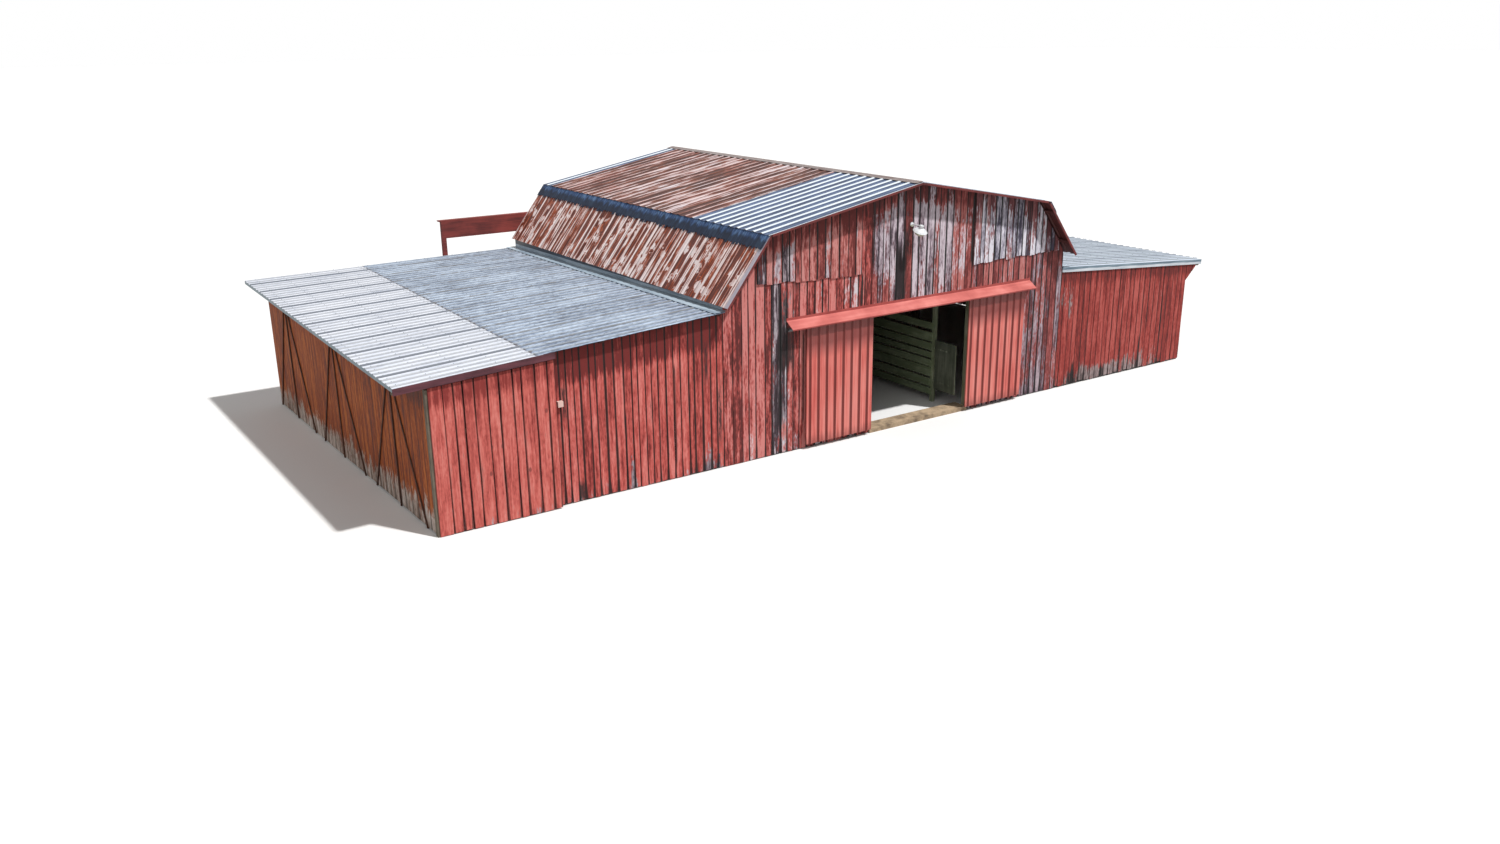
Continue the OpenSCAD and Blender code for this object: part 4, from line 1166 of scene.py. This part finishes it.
@dataclass(frozen=True)
class FootStrip(Finish):
    """Strip at the foot of the main roof, pale low down; its dark upper edge is painted shadow."""

    pale_h: float = 0.075

    def build(self, s: Surface) -> Material:
        """Parts the strip at a height above each lean-to roof.

        Args:
            s: The surface.

        Returns:
            Its material.
        """
        roof = LEFT_ROOF
        share = (s.y - roof.front_y) / (roof.rear_y - roof.front_y)
        left = share * (roof.rear_in - roof.front_in) + roof.front_in
        base = left + s.step(s.x, 0.0, 1.0) * (RIGHT_ROOF.front_in - left)
        streak = s.noise(9.0, Axis.Y.fine(0.1))
        pale = s.blend("7c8d9e a8b9c7 c5d3de", 0.5 + streak * 1.6)
        # The dark upper edge is painted shadow under the foot of the steep slope.
        eave_shadow = s.blend("121a26 26364a 5c7086", 0.35 + streak * 1.8)
        high = s.step(s.z - base + streak * 0.03, self.pale_h, 0.02)
        return s.finish(s.mix(pale, eave_shadow, high), 0.45)


@dataclass(frozen=True)
class Fascia(Finish):
    """Strip under the front edge of the right roof: a dull band above a white one."""

    band: float = 0.085

    def build(self, s: Surface) -> Material:
        """Parts the strip at a depth under the roof.

        Args:
            s: The surface.

        Returns:
            Its material.
        """
        high, fall = RIGHT_ROOF.line(RIGHT_ROOF.front_y)
        down = high - s.x * fall - s.z
        streak = s.noise(14.0, Axis.X.fine(0.1))
        dull = s.blend("566b7b 7d919f a4b3bf", 0.5 + streak * 1.8)
        white = s.blend("a7b3c0 d3dae2 e6ebf1", 0.6 + streak * 1.6)
        return s.finish(s.mix(dull, white, s.step(down + streak * 0.03, self.band, 0.015)), 0.5)


class HoodPaint(Finish):
    """Faded paint, with painted light above and painted shade on the lip and below."""

    def build(self, s: Surface) -> Material:
        """Blends three paints by how far the surface looks up, as painted light and shade.

        Args:
            s: The surface.

        Returns:
            Its material.
        """
        up = s.upward()
        value = 0.5 + s.noise(9.0, Axis.X.fine(0.1)) * 0.8 + s.noise(2.0) * 0.9
        # Lighter copy for what looks up and darker copy for the lip: painted light and shade.
        top = s.blend("b0524b cd6c64 e58c83", value)
        lip = s.blend("7c2926 a64540 bd5f58", value)
        colour = s.mix(lip, top, s.step(up, 0.35, 0.3))
        # Darkest on what looks down: painted shade.
        return s.finish(s.mix("5c2423", colour, s.step(up, -0.3, 0.2)), 0.5)


@dataclass(frozen=True)
class Enamel(Finish):
    """White shade with a cream glass bowl below its rim."""

    y: float = -0.330
    z: float = 4.680
    tilt: float = math.radians(22.0)
    rim: float = 0.133

    def build(self, s: Surface) -> Material:
        """Parts glass and enamel along the lamp's own axis.

        Args:
            s: The surface.

        Returns:
            Its material.
        """
        along = (s.z - self.z) * math.cos(self.tilt) - (s.y - self.y) * math.sin(self.tilt)
        dirt = s.noise(30.0)
        white = s.blend("b9bcc0 e6e9eb f2f4f5", 0.6 + dirt * 1.4)
        glass = s.blend("a6ac92 cdd1b6 e4e6d2", 0.5 + dirt * 1.4)
        return s.finish(s.mix(glass, white, s.step(along, -self.rim, 0.004)), 0.35)


@dataclass(frozen=True)
class PlainMetal(Finish):
    """Flat sheet, flashing or fitting with streaks and a little dirt."""

    base: str
    worn: str
    axis: Axis = Axis.X
    share: float = 0.5
    rough: float = 0.5
    metal: float = 0.0

    def build(self, s: Surface) -> Material:
        """Blends both colours in streaks.

        Args:
            s: The surface.

        Returns:
            Its material.
        """
        streak, cloud = s.noise(9.0, self.axis.fine(0.1)), s.noise(2.5)
        speck = s.noise(70.0, detail=2.0)
        mask = s.step(streak * 0.6 + cloud * 0.5 + speck * 0.3, 0.5 - self.share, 0.3)
        return s.finish(s.mix(self.base, self.worn, mask), self.rough, self.metal)


@dataclass(frozen=True)
class DoorSheet(Finish):
    """Red ribbed sheet of a door leaf, faded, with painted shade along one side of each rib."""

    middle: float
    pitch: float = 0.229
    bays: int = 8
    shade_h: float = 2.2
    grime_h: float = 0.24

    def build(self, s: Surface) -> Material:
        """Lays the hood's painted shadow, grime and painted shade by the ribs over the paint.

        Args:
            s: The surface.

        Returns:
            Its material.
        """
        turn = s.repeat(s.x, self.middle - self.pitch * (self.bays - 1) / 2, self.pitch)
        # Painted shade along the left side of each rib.
        side = s.step(turn, -0.28, 0.08) * s.drop(turn, -0.02, 0.05)
        streak, cloud = s.noise(18.0, Axis.Z.fine(0.04)), s.noise(1.5, Axis.Z.fine(0.5))
        colour = s.blend("cf5a51 ea8076 f3968c", 0.5 + streak * 1.5 + cloud)
        # Darker top of the leaf: the hood's painted shadow.
        colour = s.mix(colour, "642020", s.step(s.z + streak * 0.2, self.shade_h, 0.35) * 0.78)
        colour = s.mix(colour, "7b3f3a", s.drop(s.z + streak * 0.4, self.grime_h, 0.2) * 0.55)
        return s.finish(s.mix(colour, "66170f", side * 0.9), 0.5)


class Stone(Finish):
    """Tan sill, rough and stained."""

    def build(self, s: Surface) -> Material:
        """Blends tan and brown in blots.

        Args:
            s: The surface.

        Returns:
            Its material.
        """
        cloud, speck = s.noise(5.0, detail=5.0), s.noise(90.0)
        colour = s.mix("c3a98a", "7c6a56", s.step(cloud + speck * 0.5, 0.05, 0.3))
        return s.finish(colour, 0.9, relief=speck * 0.5 + cloud, depth=0.006)


PAINTS: dict[str, BoardPaint] = {
    "front_wall_left": BoardPaint(
        "5c1f1d b6504a e08a84", "40333a a4929b e4dadf", wear=-0.02, spread=0.8, contrast=1.5,
        foot_h=0.8, foot_wear=0.25,
        # The first dark stain is the painted shadow of the door hood's left end.
        dark=(Stain(-3.42, 2.4, 0.24, 0.55, 1.2), Stain(-3.5, 3.2, 0.25, 0.6, 0.7),
              Stain(-3.6, 1.1, 0.22, 0.9, 0.6), Stain(-3.15, 3.7, 0.3, 0.35, 0.6)),
        pale=(Stain(-4.1, 1.2, 0.35, 1.1, 0.25), Stain(-3.55, 2.0, 0.28, 1.9, 0.5),
              Stain(-1.8, 3.2, 0.4, 0.45, 0.35)),
        slits=(Slit(-2.97, 0.6, 2.65), Slit(-1.37, 3.0, 3.75, 0.05))),
    "front_wall_right": BoardPaint(
        "612525 a3524f cb827d", "57464f 9a848e c9b6be", wear=0.2, spread=0.6, foot_h=1.6,
        foot_wear=0.4,
        pale=(Stain(4.95, 2.2, 0.12, 1.0, 0.5),)),
    "front_gable_centre": BoardPaint(
        "551f1e 94423f c47771", "463841 ab98a2 e0d2da", wear=0.44, spread=0.7, contrast=1.2,
        shelter_and_shade=0.42,
        # The first two dark stains, under the lamp, are partly a dark board and partly the lamp's
        # painted shadow.
        dark=(Stain(-0.24, 3.4, 0.17, 0.85, 1.2), Stain(-0.10, 4.3, 0.10, 0.5, 0.9),
              Stain(-0.05, 5.0, 0.1, 0.3, 0.5), Stain(0.62, 3.4, 0.1, 0.5, 0.35)),
        pale=(Stain(-0.75, 4.2, 0.35, 0.9, 0.5), Stain(1.0, 4.3, 0.7, 0.8, 0.3)),
        slits=(Slit(-1.06, 3.95, 5.25, 0.04), Slit(1.90, 3.55, 5.2, 0.05),
               Slit(0.78, 3.0, 4.3, 0.02))),
    "front_flap_left": BoardPaint(
        "692522 b05a54 d9918b", "40343b 9c8a92 d3c3ca", wear=0.16, spread=0.8, boards=0.45,
        contrast=1.5, shelter_and_shade=0.5,
        pale=(Stain(-3.55, 4.1, 0.35, 0.5, 0.35),),
        dark=(Stain(-3.14, 4.05, 0.06, 0.3, 0.9), Stain(-3.9, 4.1, 0.08, 0.3, 0.5)),
        slits=(Slit(-3.42, 3.6, 4.7, 0.03), Slit(-2.62, 3.7, 4.9, 0.03))),
    "front_flap_right": BoardPaint(
        "552a2e 8c5254 bd8887", "4b4656 b7b1bf f4f0f9", wear=0.72, spread=0.5, shelter_and_shade=0.28,
        slits=(Slit(2.62, 3.6, 4.9, 0.03), Slit(3.75, 3.6, 4.8, 0.025))),
    "left_front_wall": BoardPaint(
        "74221f c95a52 eb887f", wear=-0.14, foot_h=0.4, boards=0.25, contrast=0.85, shelter_and_shade=0.52,
        shelter_and_shade_h=0.62,
        dark=(Stain(-8.38, 0.2, 0.10, 0.25, 0.9), Stain(-9.0, 0.1, 0.2, 0.15, 0.7),
              Stain(-8.66, 2.1, 0.05, 0.4, 0.8), Stain(-5.45, 2.3, 0.07, 0.5, 0.8),
              Stain(-5.12, 1.1, 0.06, 0.9, 0.7)),
        pale=(Stain(-7.2, 0.35, 0.06, 0.35, 0.7), Stain(-5.3, 0.2, 0.15, 0.3, 0.4)),
        slits=(Slit(-6.2, 0.3, 2.4, 0.025), Slit(-7.35, 0.2, 1.6, 0.03))),
    "left_bay_front_wall": BoardPaint(
        "8d312c d4675d ef8f84", wear=-0.2, spread=0.25, foot_h=0.5, boards=0.15, contrast=0.75,
        rim=0.8, rim_from=0.45, foot_wear=0.45, knots=0.6),
    "left_side_wall": BoardPaint(
        "561e06 97430a c26a2e", "84695b c4aea0 efe2d9", "3a261e", wear=-0.22, spread=0.12,
        patchy=0.9, boards=0.2, foot_h=0.9, foot_wear=1.15, rim=0.55, rim_from=0.46),
    "right_front_wall": BoardPaint(
        "671c19 9f3a33 c45f57", "332a2b 82706f b5a1a0", wear=-0.14, boards=0.35, contrast=0.95,
        rim=0.8, rim_from=0.445, foot_h=0.5, foot_wear=0.45,
        pale=(Stain(6.7, 0.2, 2.1, 0.32, 0.6), Stain(5.32, 2.3, 0.24, 0.8, 0.65),
              Stain(5.2, 0.9, 0.14, 0.9, 0.35)),
        dark=(Stain(5.7, 0.2, 0.12, 0.3, 0.9), Stain(6.8, 0.15, 0.1, 0.2, 0.8),
              Stain(8.26, 0.5, 0.06, 0.7, 0.7), Stain(9.25, 1.7, 0.06, 0.5, 0.6)),
        slits=(Slit(5.68, 0.0, 0.6, 0.07), Slit(6.8, 0.0, 0.4, 0.06), Slit(7.5, 0.0, 0.9),
               Slit(8.26, 0.0, 0.8), Slit(9.1, 0.3, 1.9, 0.025), Slit(8.5, 1.2, 2.8, 0.025))),
    "right_side_wall": BoardPaint(wear=0.05),
    "rear_wall": BoardPaint(wear=0.12, spread=0.4),
    "lean_to_rear_walls": BoardPaint(wear=0.12, spread=0.4),
}


@dataclass(frozen=True)
class Walls:
    """All board walls, each grown row by row."""

    grower: BoardGrower
    half_w: float = 5.030
    length: float = 10.380
    board_t: float = 0.028
    door_left: float = -1.100
    door_right: float = 1.930
    door_head: float = 2.715
    flap_t: float = 0.028
    flap_left: Line = (-4.180, -1.400)
    flap_right: Line = (1.950, 4.850)
    flap_left_foot: Line = (3.62, 0.035)
    flap_right_foot: Line = (3.50, 0.012)
    rear_doors: Line = (-2.047, 1.377)
    rear_door_head: float = 3.57
    left_wall_end: float = -8.900
    bay: Line = (-11.330, -8.850)
    bay_proud: float = 0.120
    left_w: float = 11.350
    left_rear_w: float = 11.600
    left_board_end: float = 11.571
    corner_gap: float = 0.018
    right_w: float = 10.000
    flare_w: float = 10.380
    flare_foot: Line = (-6.98, 0.92)
    front_depth: float = 0.077
    rear_depth: float = 0.078
    bay_depth: float = 0.174
    side_depth: float = 0.195

    def _wall(self, node: str, place: Matrix, *rows: BoardRow, slot: str = "red_boards") -> None:
        """Grows a wall's rows and puts them in the node's place.

        Args:
            node: The node, which also names the wall's paint.
            place: The wall's frame.
            rows: Its rows of boards.
            slot: Not used.
        """
        along_y = abs(place.col[0].y) > 0.5
        material = PAINTS[node].material(f"{node} boards", rows[0].heads, along_y)
        parts = [self.grower.grow(f"{node}_row_{i}", material, row.sizes(), place)
                 for i, row in enumerate(rows)]
        settle(merge(f"{node}_boards", parts), node)

    def front(self) -> None:
        """Builds the main gable with its two rows of upper boards."""
        heads = MAIN.board_lines()
        face = Facing.FRONT.place()
        self._wall("front_wall_left", face,
                   BoardRow(-self.half_w, self.door_left, heads, 0.2, seed=11))
        self._wall("front_wall_right", face,
                   BoardRow(self.door_right, self.half_w, heads, 0.18, seed=12))
        self._wall("front_gable_centre", face,
                   BoardRow(self.door_left, self.door_right, heads, 0.2,
                            foot=(self.door_head, 0.0), ragged=0.0, seed=13))
        lap = Facing.FRONT.place((0.0, -self.flap_t, 0.0))
        self._wall("front_flap_left", lap,
                   BoardRow(*self.flap_left, heads, 0.2, foot=self.flap_left_foot, ragged=0.07,
                            uneven=0.008, seed=14))
        self._wall("front_flap_right", lap,
                   BoardRow(*self.flap_right, heads, 0.17, foot=self.flap_right_foot,
                            ragged=0.07, uneven=0.008, seed=15), slot="grey_boards")

    def rear(self) -> None:
        """Builds the rear gable round its shut doors, and the rear of the lean-tos."""
        heads = MAIN.board_lines()
        place = Facing.REAR.place((0.0, self.length, 0.0))
        low, high = self.rear_doors
        self._wall("rear_wall", place,
                   BoardRow(-self.half_w, low, heads, seed=21),
                   BoardRow(low, high, heads, foot=(self.rear_door_head, 0.0), ragged=0.0,
                            seed=22),
                   BoardRow(high, self.half_w, heads, seed=23))
        left, right = (roof.line(roof.rear_y, self.rear_depth) for roof in (LEFT_ROOF, RIGHT_ROOF))
        self._wall("lean_to_rear_walls", place,
                   BoardRow(self.half_w, self.left_board_end, (left, left), seed=24),
                   BoardRow(-self.right_w, -self.half_w, (right, right), 0.17, seed=25))

    def left_lean_to(self) -> None:
        """Builds the walls of the left lean-to."""
        top = LEFT_ROOF.line(0.0, self.front_depth)
        self._wall("left_front_wall", Facing.FRONT.place(),
                   BoardRow(self.left_wall_end, -self.half_w, (top, top), 0.165, seed=31))
        top = LEFT_ROOF.line(LEFT_ROOF.front_y, self.bay_depth)
        self._wall("left_bay_front_wall", Facing.FRONT.place((0.0, -self.bay_proud, 0.0)),
                   BoardRow(*self.bay, (top, top), 0.225, gap=0.02, seed=32))
        front_top = LEFT_ROOF.height(self.left_w, self.corner_gap) - self.side_depth
        rear_top = LEFT_ROOF.height(self.left_rear_w, self.length) - self.side_depth
        top = (front_top, (front_top - rear_top) / self.length)
        turn = math.atan2(self.left_rear_w - self.left_w, self.length)
        self._wall("left_side_wall", Facing.LEFT.place((-self.left_w, 0.0, 0.0), turn),
                   BoardRow(-self.length, -self.corner_gap, (top, top), 0.28, gap=0.003,
                            uneven=0.002, seed=33), slot="shade_boards")

    def right_lean_to(self) -> None:
        """Builds the walls of the right lean-to, with its flared end."""
        heads = (RIGHT_ROOF.line(0.0, self.front_depth),) * 2
        self._wall("right_front_wall", Facing.FRONT.place(),
                   BoardRow(self.half_w, self.right_w, heads, ragged=0.06, seed=41),
                   BoardRow(self.right_w, self.flare_w, heads, foot=self.flare_foot,
                            ragged=0.0, seed=42))
        top = (RIGHT_ROOF.height(self.right_w, 0.0) - self.side_depth, 0.0)
        self._wall("right_side_wall", Facing.RIGHT.place((self.right_w, 0.0, 0.0)),
                   BoardRow(self.board_t, self.length - self.board_t, (top, top), 0.18, seed=43))


@dataclass(frozen=True)
class Fixings:
    """The thin trim of the roofs that the model leaves out: uneven teeth and screws."""

    flashing_w: float = 0.300
    flashing_drop: float = 0.0436
    tooth_t: float = 0.003
    tooth_head: Line = (0.004, 0.0)
    tooth_foot: Line = (-0.11, 0.0)
    inner_x: float = 5.4
    seam_margin: float = 0.12
    edge_margin: float = 0.10

    def teeth(self, grower: BoardGrower, material: Material) -> None:
        """Cuts the lower edge of the flashings into uneven teeth.

        Args:
            grower: What grows the boards.
            material: The flashing's material.
        """
        slope = Vector((MAIN.foot_x - MAIN.break_x, 0.0, MAIN.foot_h - MAIN.break_h)).normalized()
        ends = (MAIN.front_y, MAIN.rear_y)
        rows = []
        for side, (start, end) in ((-1, (-ends[1], -ends[0])), (1, ends)):
            up = Vector((-slope.x * side, 0.0, -slope.z))
            along = Vector((0.0, float(side), 0.0))
            inward = up.cross(along)
            foot = (Vector((MAIN.break_x * side, 0.0, MAIN.break_h))
                    - up * (self.flashing_w + self.flashing_drop))
            place = Matrix.Translation(foot - inward * 2 * self.tooth_t) @ axes(along, inward, up)
            row = BoardRow(start, end, (self.tooth_head,) * 2, width=0.125, spread=0.3, gap=0.05,
                           thick=self.tooth_t, foot=self.tooth_foot, ragged=0.12, uneven=0.0,
                           seed=51 + side)
            rows.append(grower.grow(f"break_teeth_{side + 2}", material, row.sizes(), place))
        settle(merge("break_teeth", rows))

    def screws(self, grower: ScrewGrower) -> None:
        """Sets screws along the ribs of the lean-to roofs.

        Args:
            grower: What grows the screws.
        """
        steel = PlainMetal("9aa2ab", "4d535b", Axis.X, 0.45, 0.4, 0.5).build(
            Surface("roof screws"))
        near, far = SEAM_X - self.seam_margin, SEAM_X + self.seam_margin
        left_x, right_x = (roof.out_x - self.edge_margin for roof in (LEFT_ROOF, RIGHT_ROOF))
        patches = ((LEFT_ROOF, LEFT_RIBS, -1, self.inner_x, near, 6, 0.008),
                   (LEFT_ROOF, LEFT_RIBS, -1, far, left_x, 5, 0.003),
                   (RIGHT_ROOF, RIGHT_RIBS, 1, self.inner_x, right_x, 8, 0.003))
        parts = []
        for roof, ribs, side, low, high, rows, lift in patches:
            columns = int((roof.rear_y - ribs.first) / ribs.pitch) + 1
            ends = {"First": ribs.first, "Last": ribs.first + ribs.pitch * (columns - 1)}
            corners = {f"{end} {level}": (side * x, y, roof.height(x, y) + lift)
                       for end, y in ends.items() for level, x in (("Low", low), ("High", high))}
            parts.append(grower.grow(f"roof_screws_{len(parts)}", steel, {
                "Columns": columns, "Rows": rows, **corners}))
        settle(merge("roof_screws", parts))


COATS: dict[str, tuple[Finish, tuple[str, ...]]] = {
    "rust and zinc sheet": (UpperSheet(MAIN_RIBS), ("upper_roof_left", "upper_roof_right")),
    "streaked rust sheet": (SteepSheet(MAIN_RIBS), ("steep_roof_left", "steep_roof_right")),
    "white sheet": (WhiteSheet(LEFT_RIBS), ("left_roof_outer",)),
    "right sheet": (WhiteSheet(RIGHT_RIBS, "9da7b5 c6d2e0 dbe5f2", 0.35),
                    ("right_roof",)),
    "grey sheet": (GreySheet(LEFT_RIBS), ("left_roof_inner",)),
    "ridge cap zinc": (PlainMetal("9a8f8c", "66504b", Axis.Y), ("ridge_cap",)),
    "dark flashing": (Flashing(), ("break_flashings",)),
    "edge strip": (PlainMetal("6c8794", "47606e", Axis.Y, 0.45, 0.4), ("left_fascia",)),
    "pale flashing": (FootStrip(), ("eave_flashings",)),
    "fascia white": (Fascia(), ("right_fascia",)),
    "post timber": (Timber(), ("main_posts", "lean_to_posts")),
    "timber along the barn": (Timber(axis=Axis.Y, soffit_shade_to=-0.005), (
        "eave_plates", "purlins", "lean_to_beams", "lean_to_purlins")),
    "timber across the barn": (Timber(axis=Axis.X), (
        "tie_beams", "main_rafters", "lean_to_rafters", "wall_girts")),
    "stall posts": (Timber("a9ae92", "596150", green=0.55), ("stall_posts",)),
    # Lighter than the other stall timber: partly painted light from the open doorway.
    "stall door": (Timber("c3cab0", "6b7461", green=0.4, board_w=0.19), ("stall_door",)),
    "jamb timber": (Timber("9a9880", "4d4c40", green=0.4), ("door_jambs",)),
    "stall slats": (Timber("8c9878", "465140", Axis.Y, 0.6), ("stall_slats",)),
    "rake paint": (Timber("8a3f3d", "4a2527", Axis.X), ("rake_boards",)),
    "side paint": (Timber("8c3b36", "5a2a28"), ("upper_side_walls",)),
    "left rake paint": (Timber("74434c", "43262d", Axis.X), ("left_rake_board",)),
    "beam paint": (Timber("8f3e37", "5c2926", Axis.X), ("rear_track_beam",)),
    "brace stain": (Timber("5c3725", "2e1a12"), ("left_wall_braces",)),
    "left leaf": (DoorSheet(-2.046), ("left_door",)),
    "right leaf": (DoorSheet(2.716), ("right_door",)),
    "rear leaves": (DoorSheet(-0.5815), ("rear_doors",)),
    "hood paint": (HoodPaint(), ("door_hood",)),
    "track steel": (PlainMetal("6b6d70", "5a4034", Axis.X, 0.4, 0.45, 0.6), (
        "door_track", "left_door_hangers", "right_door_hangers")),
    "sill": (Stone(), ("threshold_sill",)),
    "enamel": (Enamel(), ("gable_lamp",)),
    "box paint": (PlainMetal("f2cdc2", "c9938a", Axis.Z, 0.25), ("wall_box",)),
}


@dataclass(frozen=True)
class Viewpoint:
    """The photograph's viewpoint: place, direction in radians and focal length in pixels."""

    place: Place = (-17.928816, -20.184277, 8.836537)
    yaw: float = -0.59124
    pitch: float = 0.316159
    roll: float = -0.009681
    focal: float = 1199.528
    frame_w: float = 1500.0
    sensor: float = 36.0
    clip_end: float = 500.0

    def build(self) -> None:
        """Makes the camera and sets it as the scene's."""
        data = bpy.data.cameras.new("viewpoint")
        data.sensor_width = self.sensor
        data.lens = self.sensor * self.focal / self.frame_w
        data.clip_end = self.clip_end
        level = Vector((math.cos(self.yaw), math.sin(self.yaw), 0.0))
        forward = Vector((-math.sin(self.yaw) * math.cos(self.pitch),
                          math.cos(self.yaw) * math.cos(self.pitch), -math.sin(self.pitch)))
        rise = level.cross(forward)
        right = level * math.cos(self.roll) + rise * math.sin(self.roll)
        up = rise * math.cos(self.roll) - level * math.sin(self.roll)
        place = Matrix.Translation(self.place) @ axes(right, up, -forward)
        bpy.context.scene.camera = add("viewpoint", data, place)


@dataclass(frozen=True)
class Lamp:
    """A soft far lamp: the way its light goes, its strength and its angular size."""

    name: str
    way: Place
    strength: float
    softness: float

    def build(self) -> None:
        """Makes the lamp."""
        sun = bpy.data.lights.new(self.name, "SUN")
        sun.energy = self.strength
        sun.angle = self.softness
        add(self.name, sun, Vector(self.way).to_track_quat("-Z", "Y").to_matrix().to_4x4())


@dataclass(frozen=True)
class Studio:
    """A plain pale floor, a high soft lamp, a weak one from the left and an even surround."""

    lamps: tuple[Lamp, ...] = (
        Lamp("high lamp", (-0.60, 1.0, -2.0), 3.0, 0.04),
        Lamp("side lamp", (1.0, 0.7, -0.7), 0.45, 0.9))
    surround: float = 0.26
    floor_shade: float = 0.34
    floor_r: float = 400.0
    floor_z: float = -0.002

    def build(self) -> None:
        """Makes the lamps, the surround and the floor."""
        for lamp in self.lamps:
            lamp.build()
        self._surround()
        self._floor()
        bpy.context.scene.view_settings.view_transform = "Standard"

    @staticmethod
    def _seen(tree: Tree) -> Wire:
        """Masks what the camera and glossy or clear surfaces see.

        Args:
            tree: The tree that asks.

        Returns:
            The mask, 1 for such rays.
        """
        camera = tree.node("ShaderNodeLightPath", out="Is Camera Ray")
        return tree.most((camera, camera.other("Is Glossy Ray"),
                          camera.other("Is Transmission Ray")))

    def _surround(self) -> None:
        """Lights from all sides, and shows white to the camera and in gloss."""
        world = bpy.data.worlds.new("surround")
        world.use_nodes = True
        world.node_tree.nodes.clear()
        tree = Tree(world.node_tree)
        strength = self.surround + self._seen(tree) * (1.0 - self.surround)
        light = tree.node("ShaderNodeBackground", inputs={
            "Color": (1.0, 1.0, 1.0, 1.0), "Strength": strength})
        tree.end_in("ShaderNodeOutputWorld", "Surface", light)
        bpy.context.scene.world = world

    def _floor(self) -> None:
        """Makes the wide floor, pale to the camera and duller where it lights the barn."""
        r, z = self.floor_r, self.floor_z
        mesh = bpy.data.meshes.new("floor")
        mesh.from_pydata([(-r, -r, z), (r, -r, z), (r, r, z), (-r, r, z)], [], [(0, 1, 2, 3)])
        floor = add("floor", mesh)
        s = Surface("pale floor")
        dull = (self.floor_shade, self.floor_shade, self.floor_shade, 1.0)
        mesh.materials.append(s.finish(s.mix(dull, "fbfaf8", self._seen(s)), 0.9))


def main() -> None:
    """Builds the barn's looks in order."""
    logging.basicConfig(level=logging.INFO, format="%(name)s: %(message)s")
    Viewpoint().build()
    Studio().build()
    boards = BoardGrower()
    walls = Walls(boards)
    for wall in (walls.front, walls.rear, walls.left_lean_to, walls.right_lean_to):
        wall()
    for name, (finish, nodes) in COATS.items():
        finish.cover(name, nodes)
    fixings = Fixings()
    fixings.teeth(boards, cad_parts["break_flashings"].data.materials[0])
    fixings.screws(ScrewGrower())


if __name__ == "__main__":
    main()
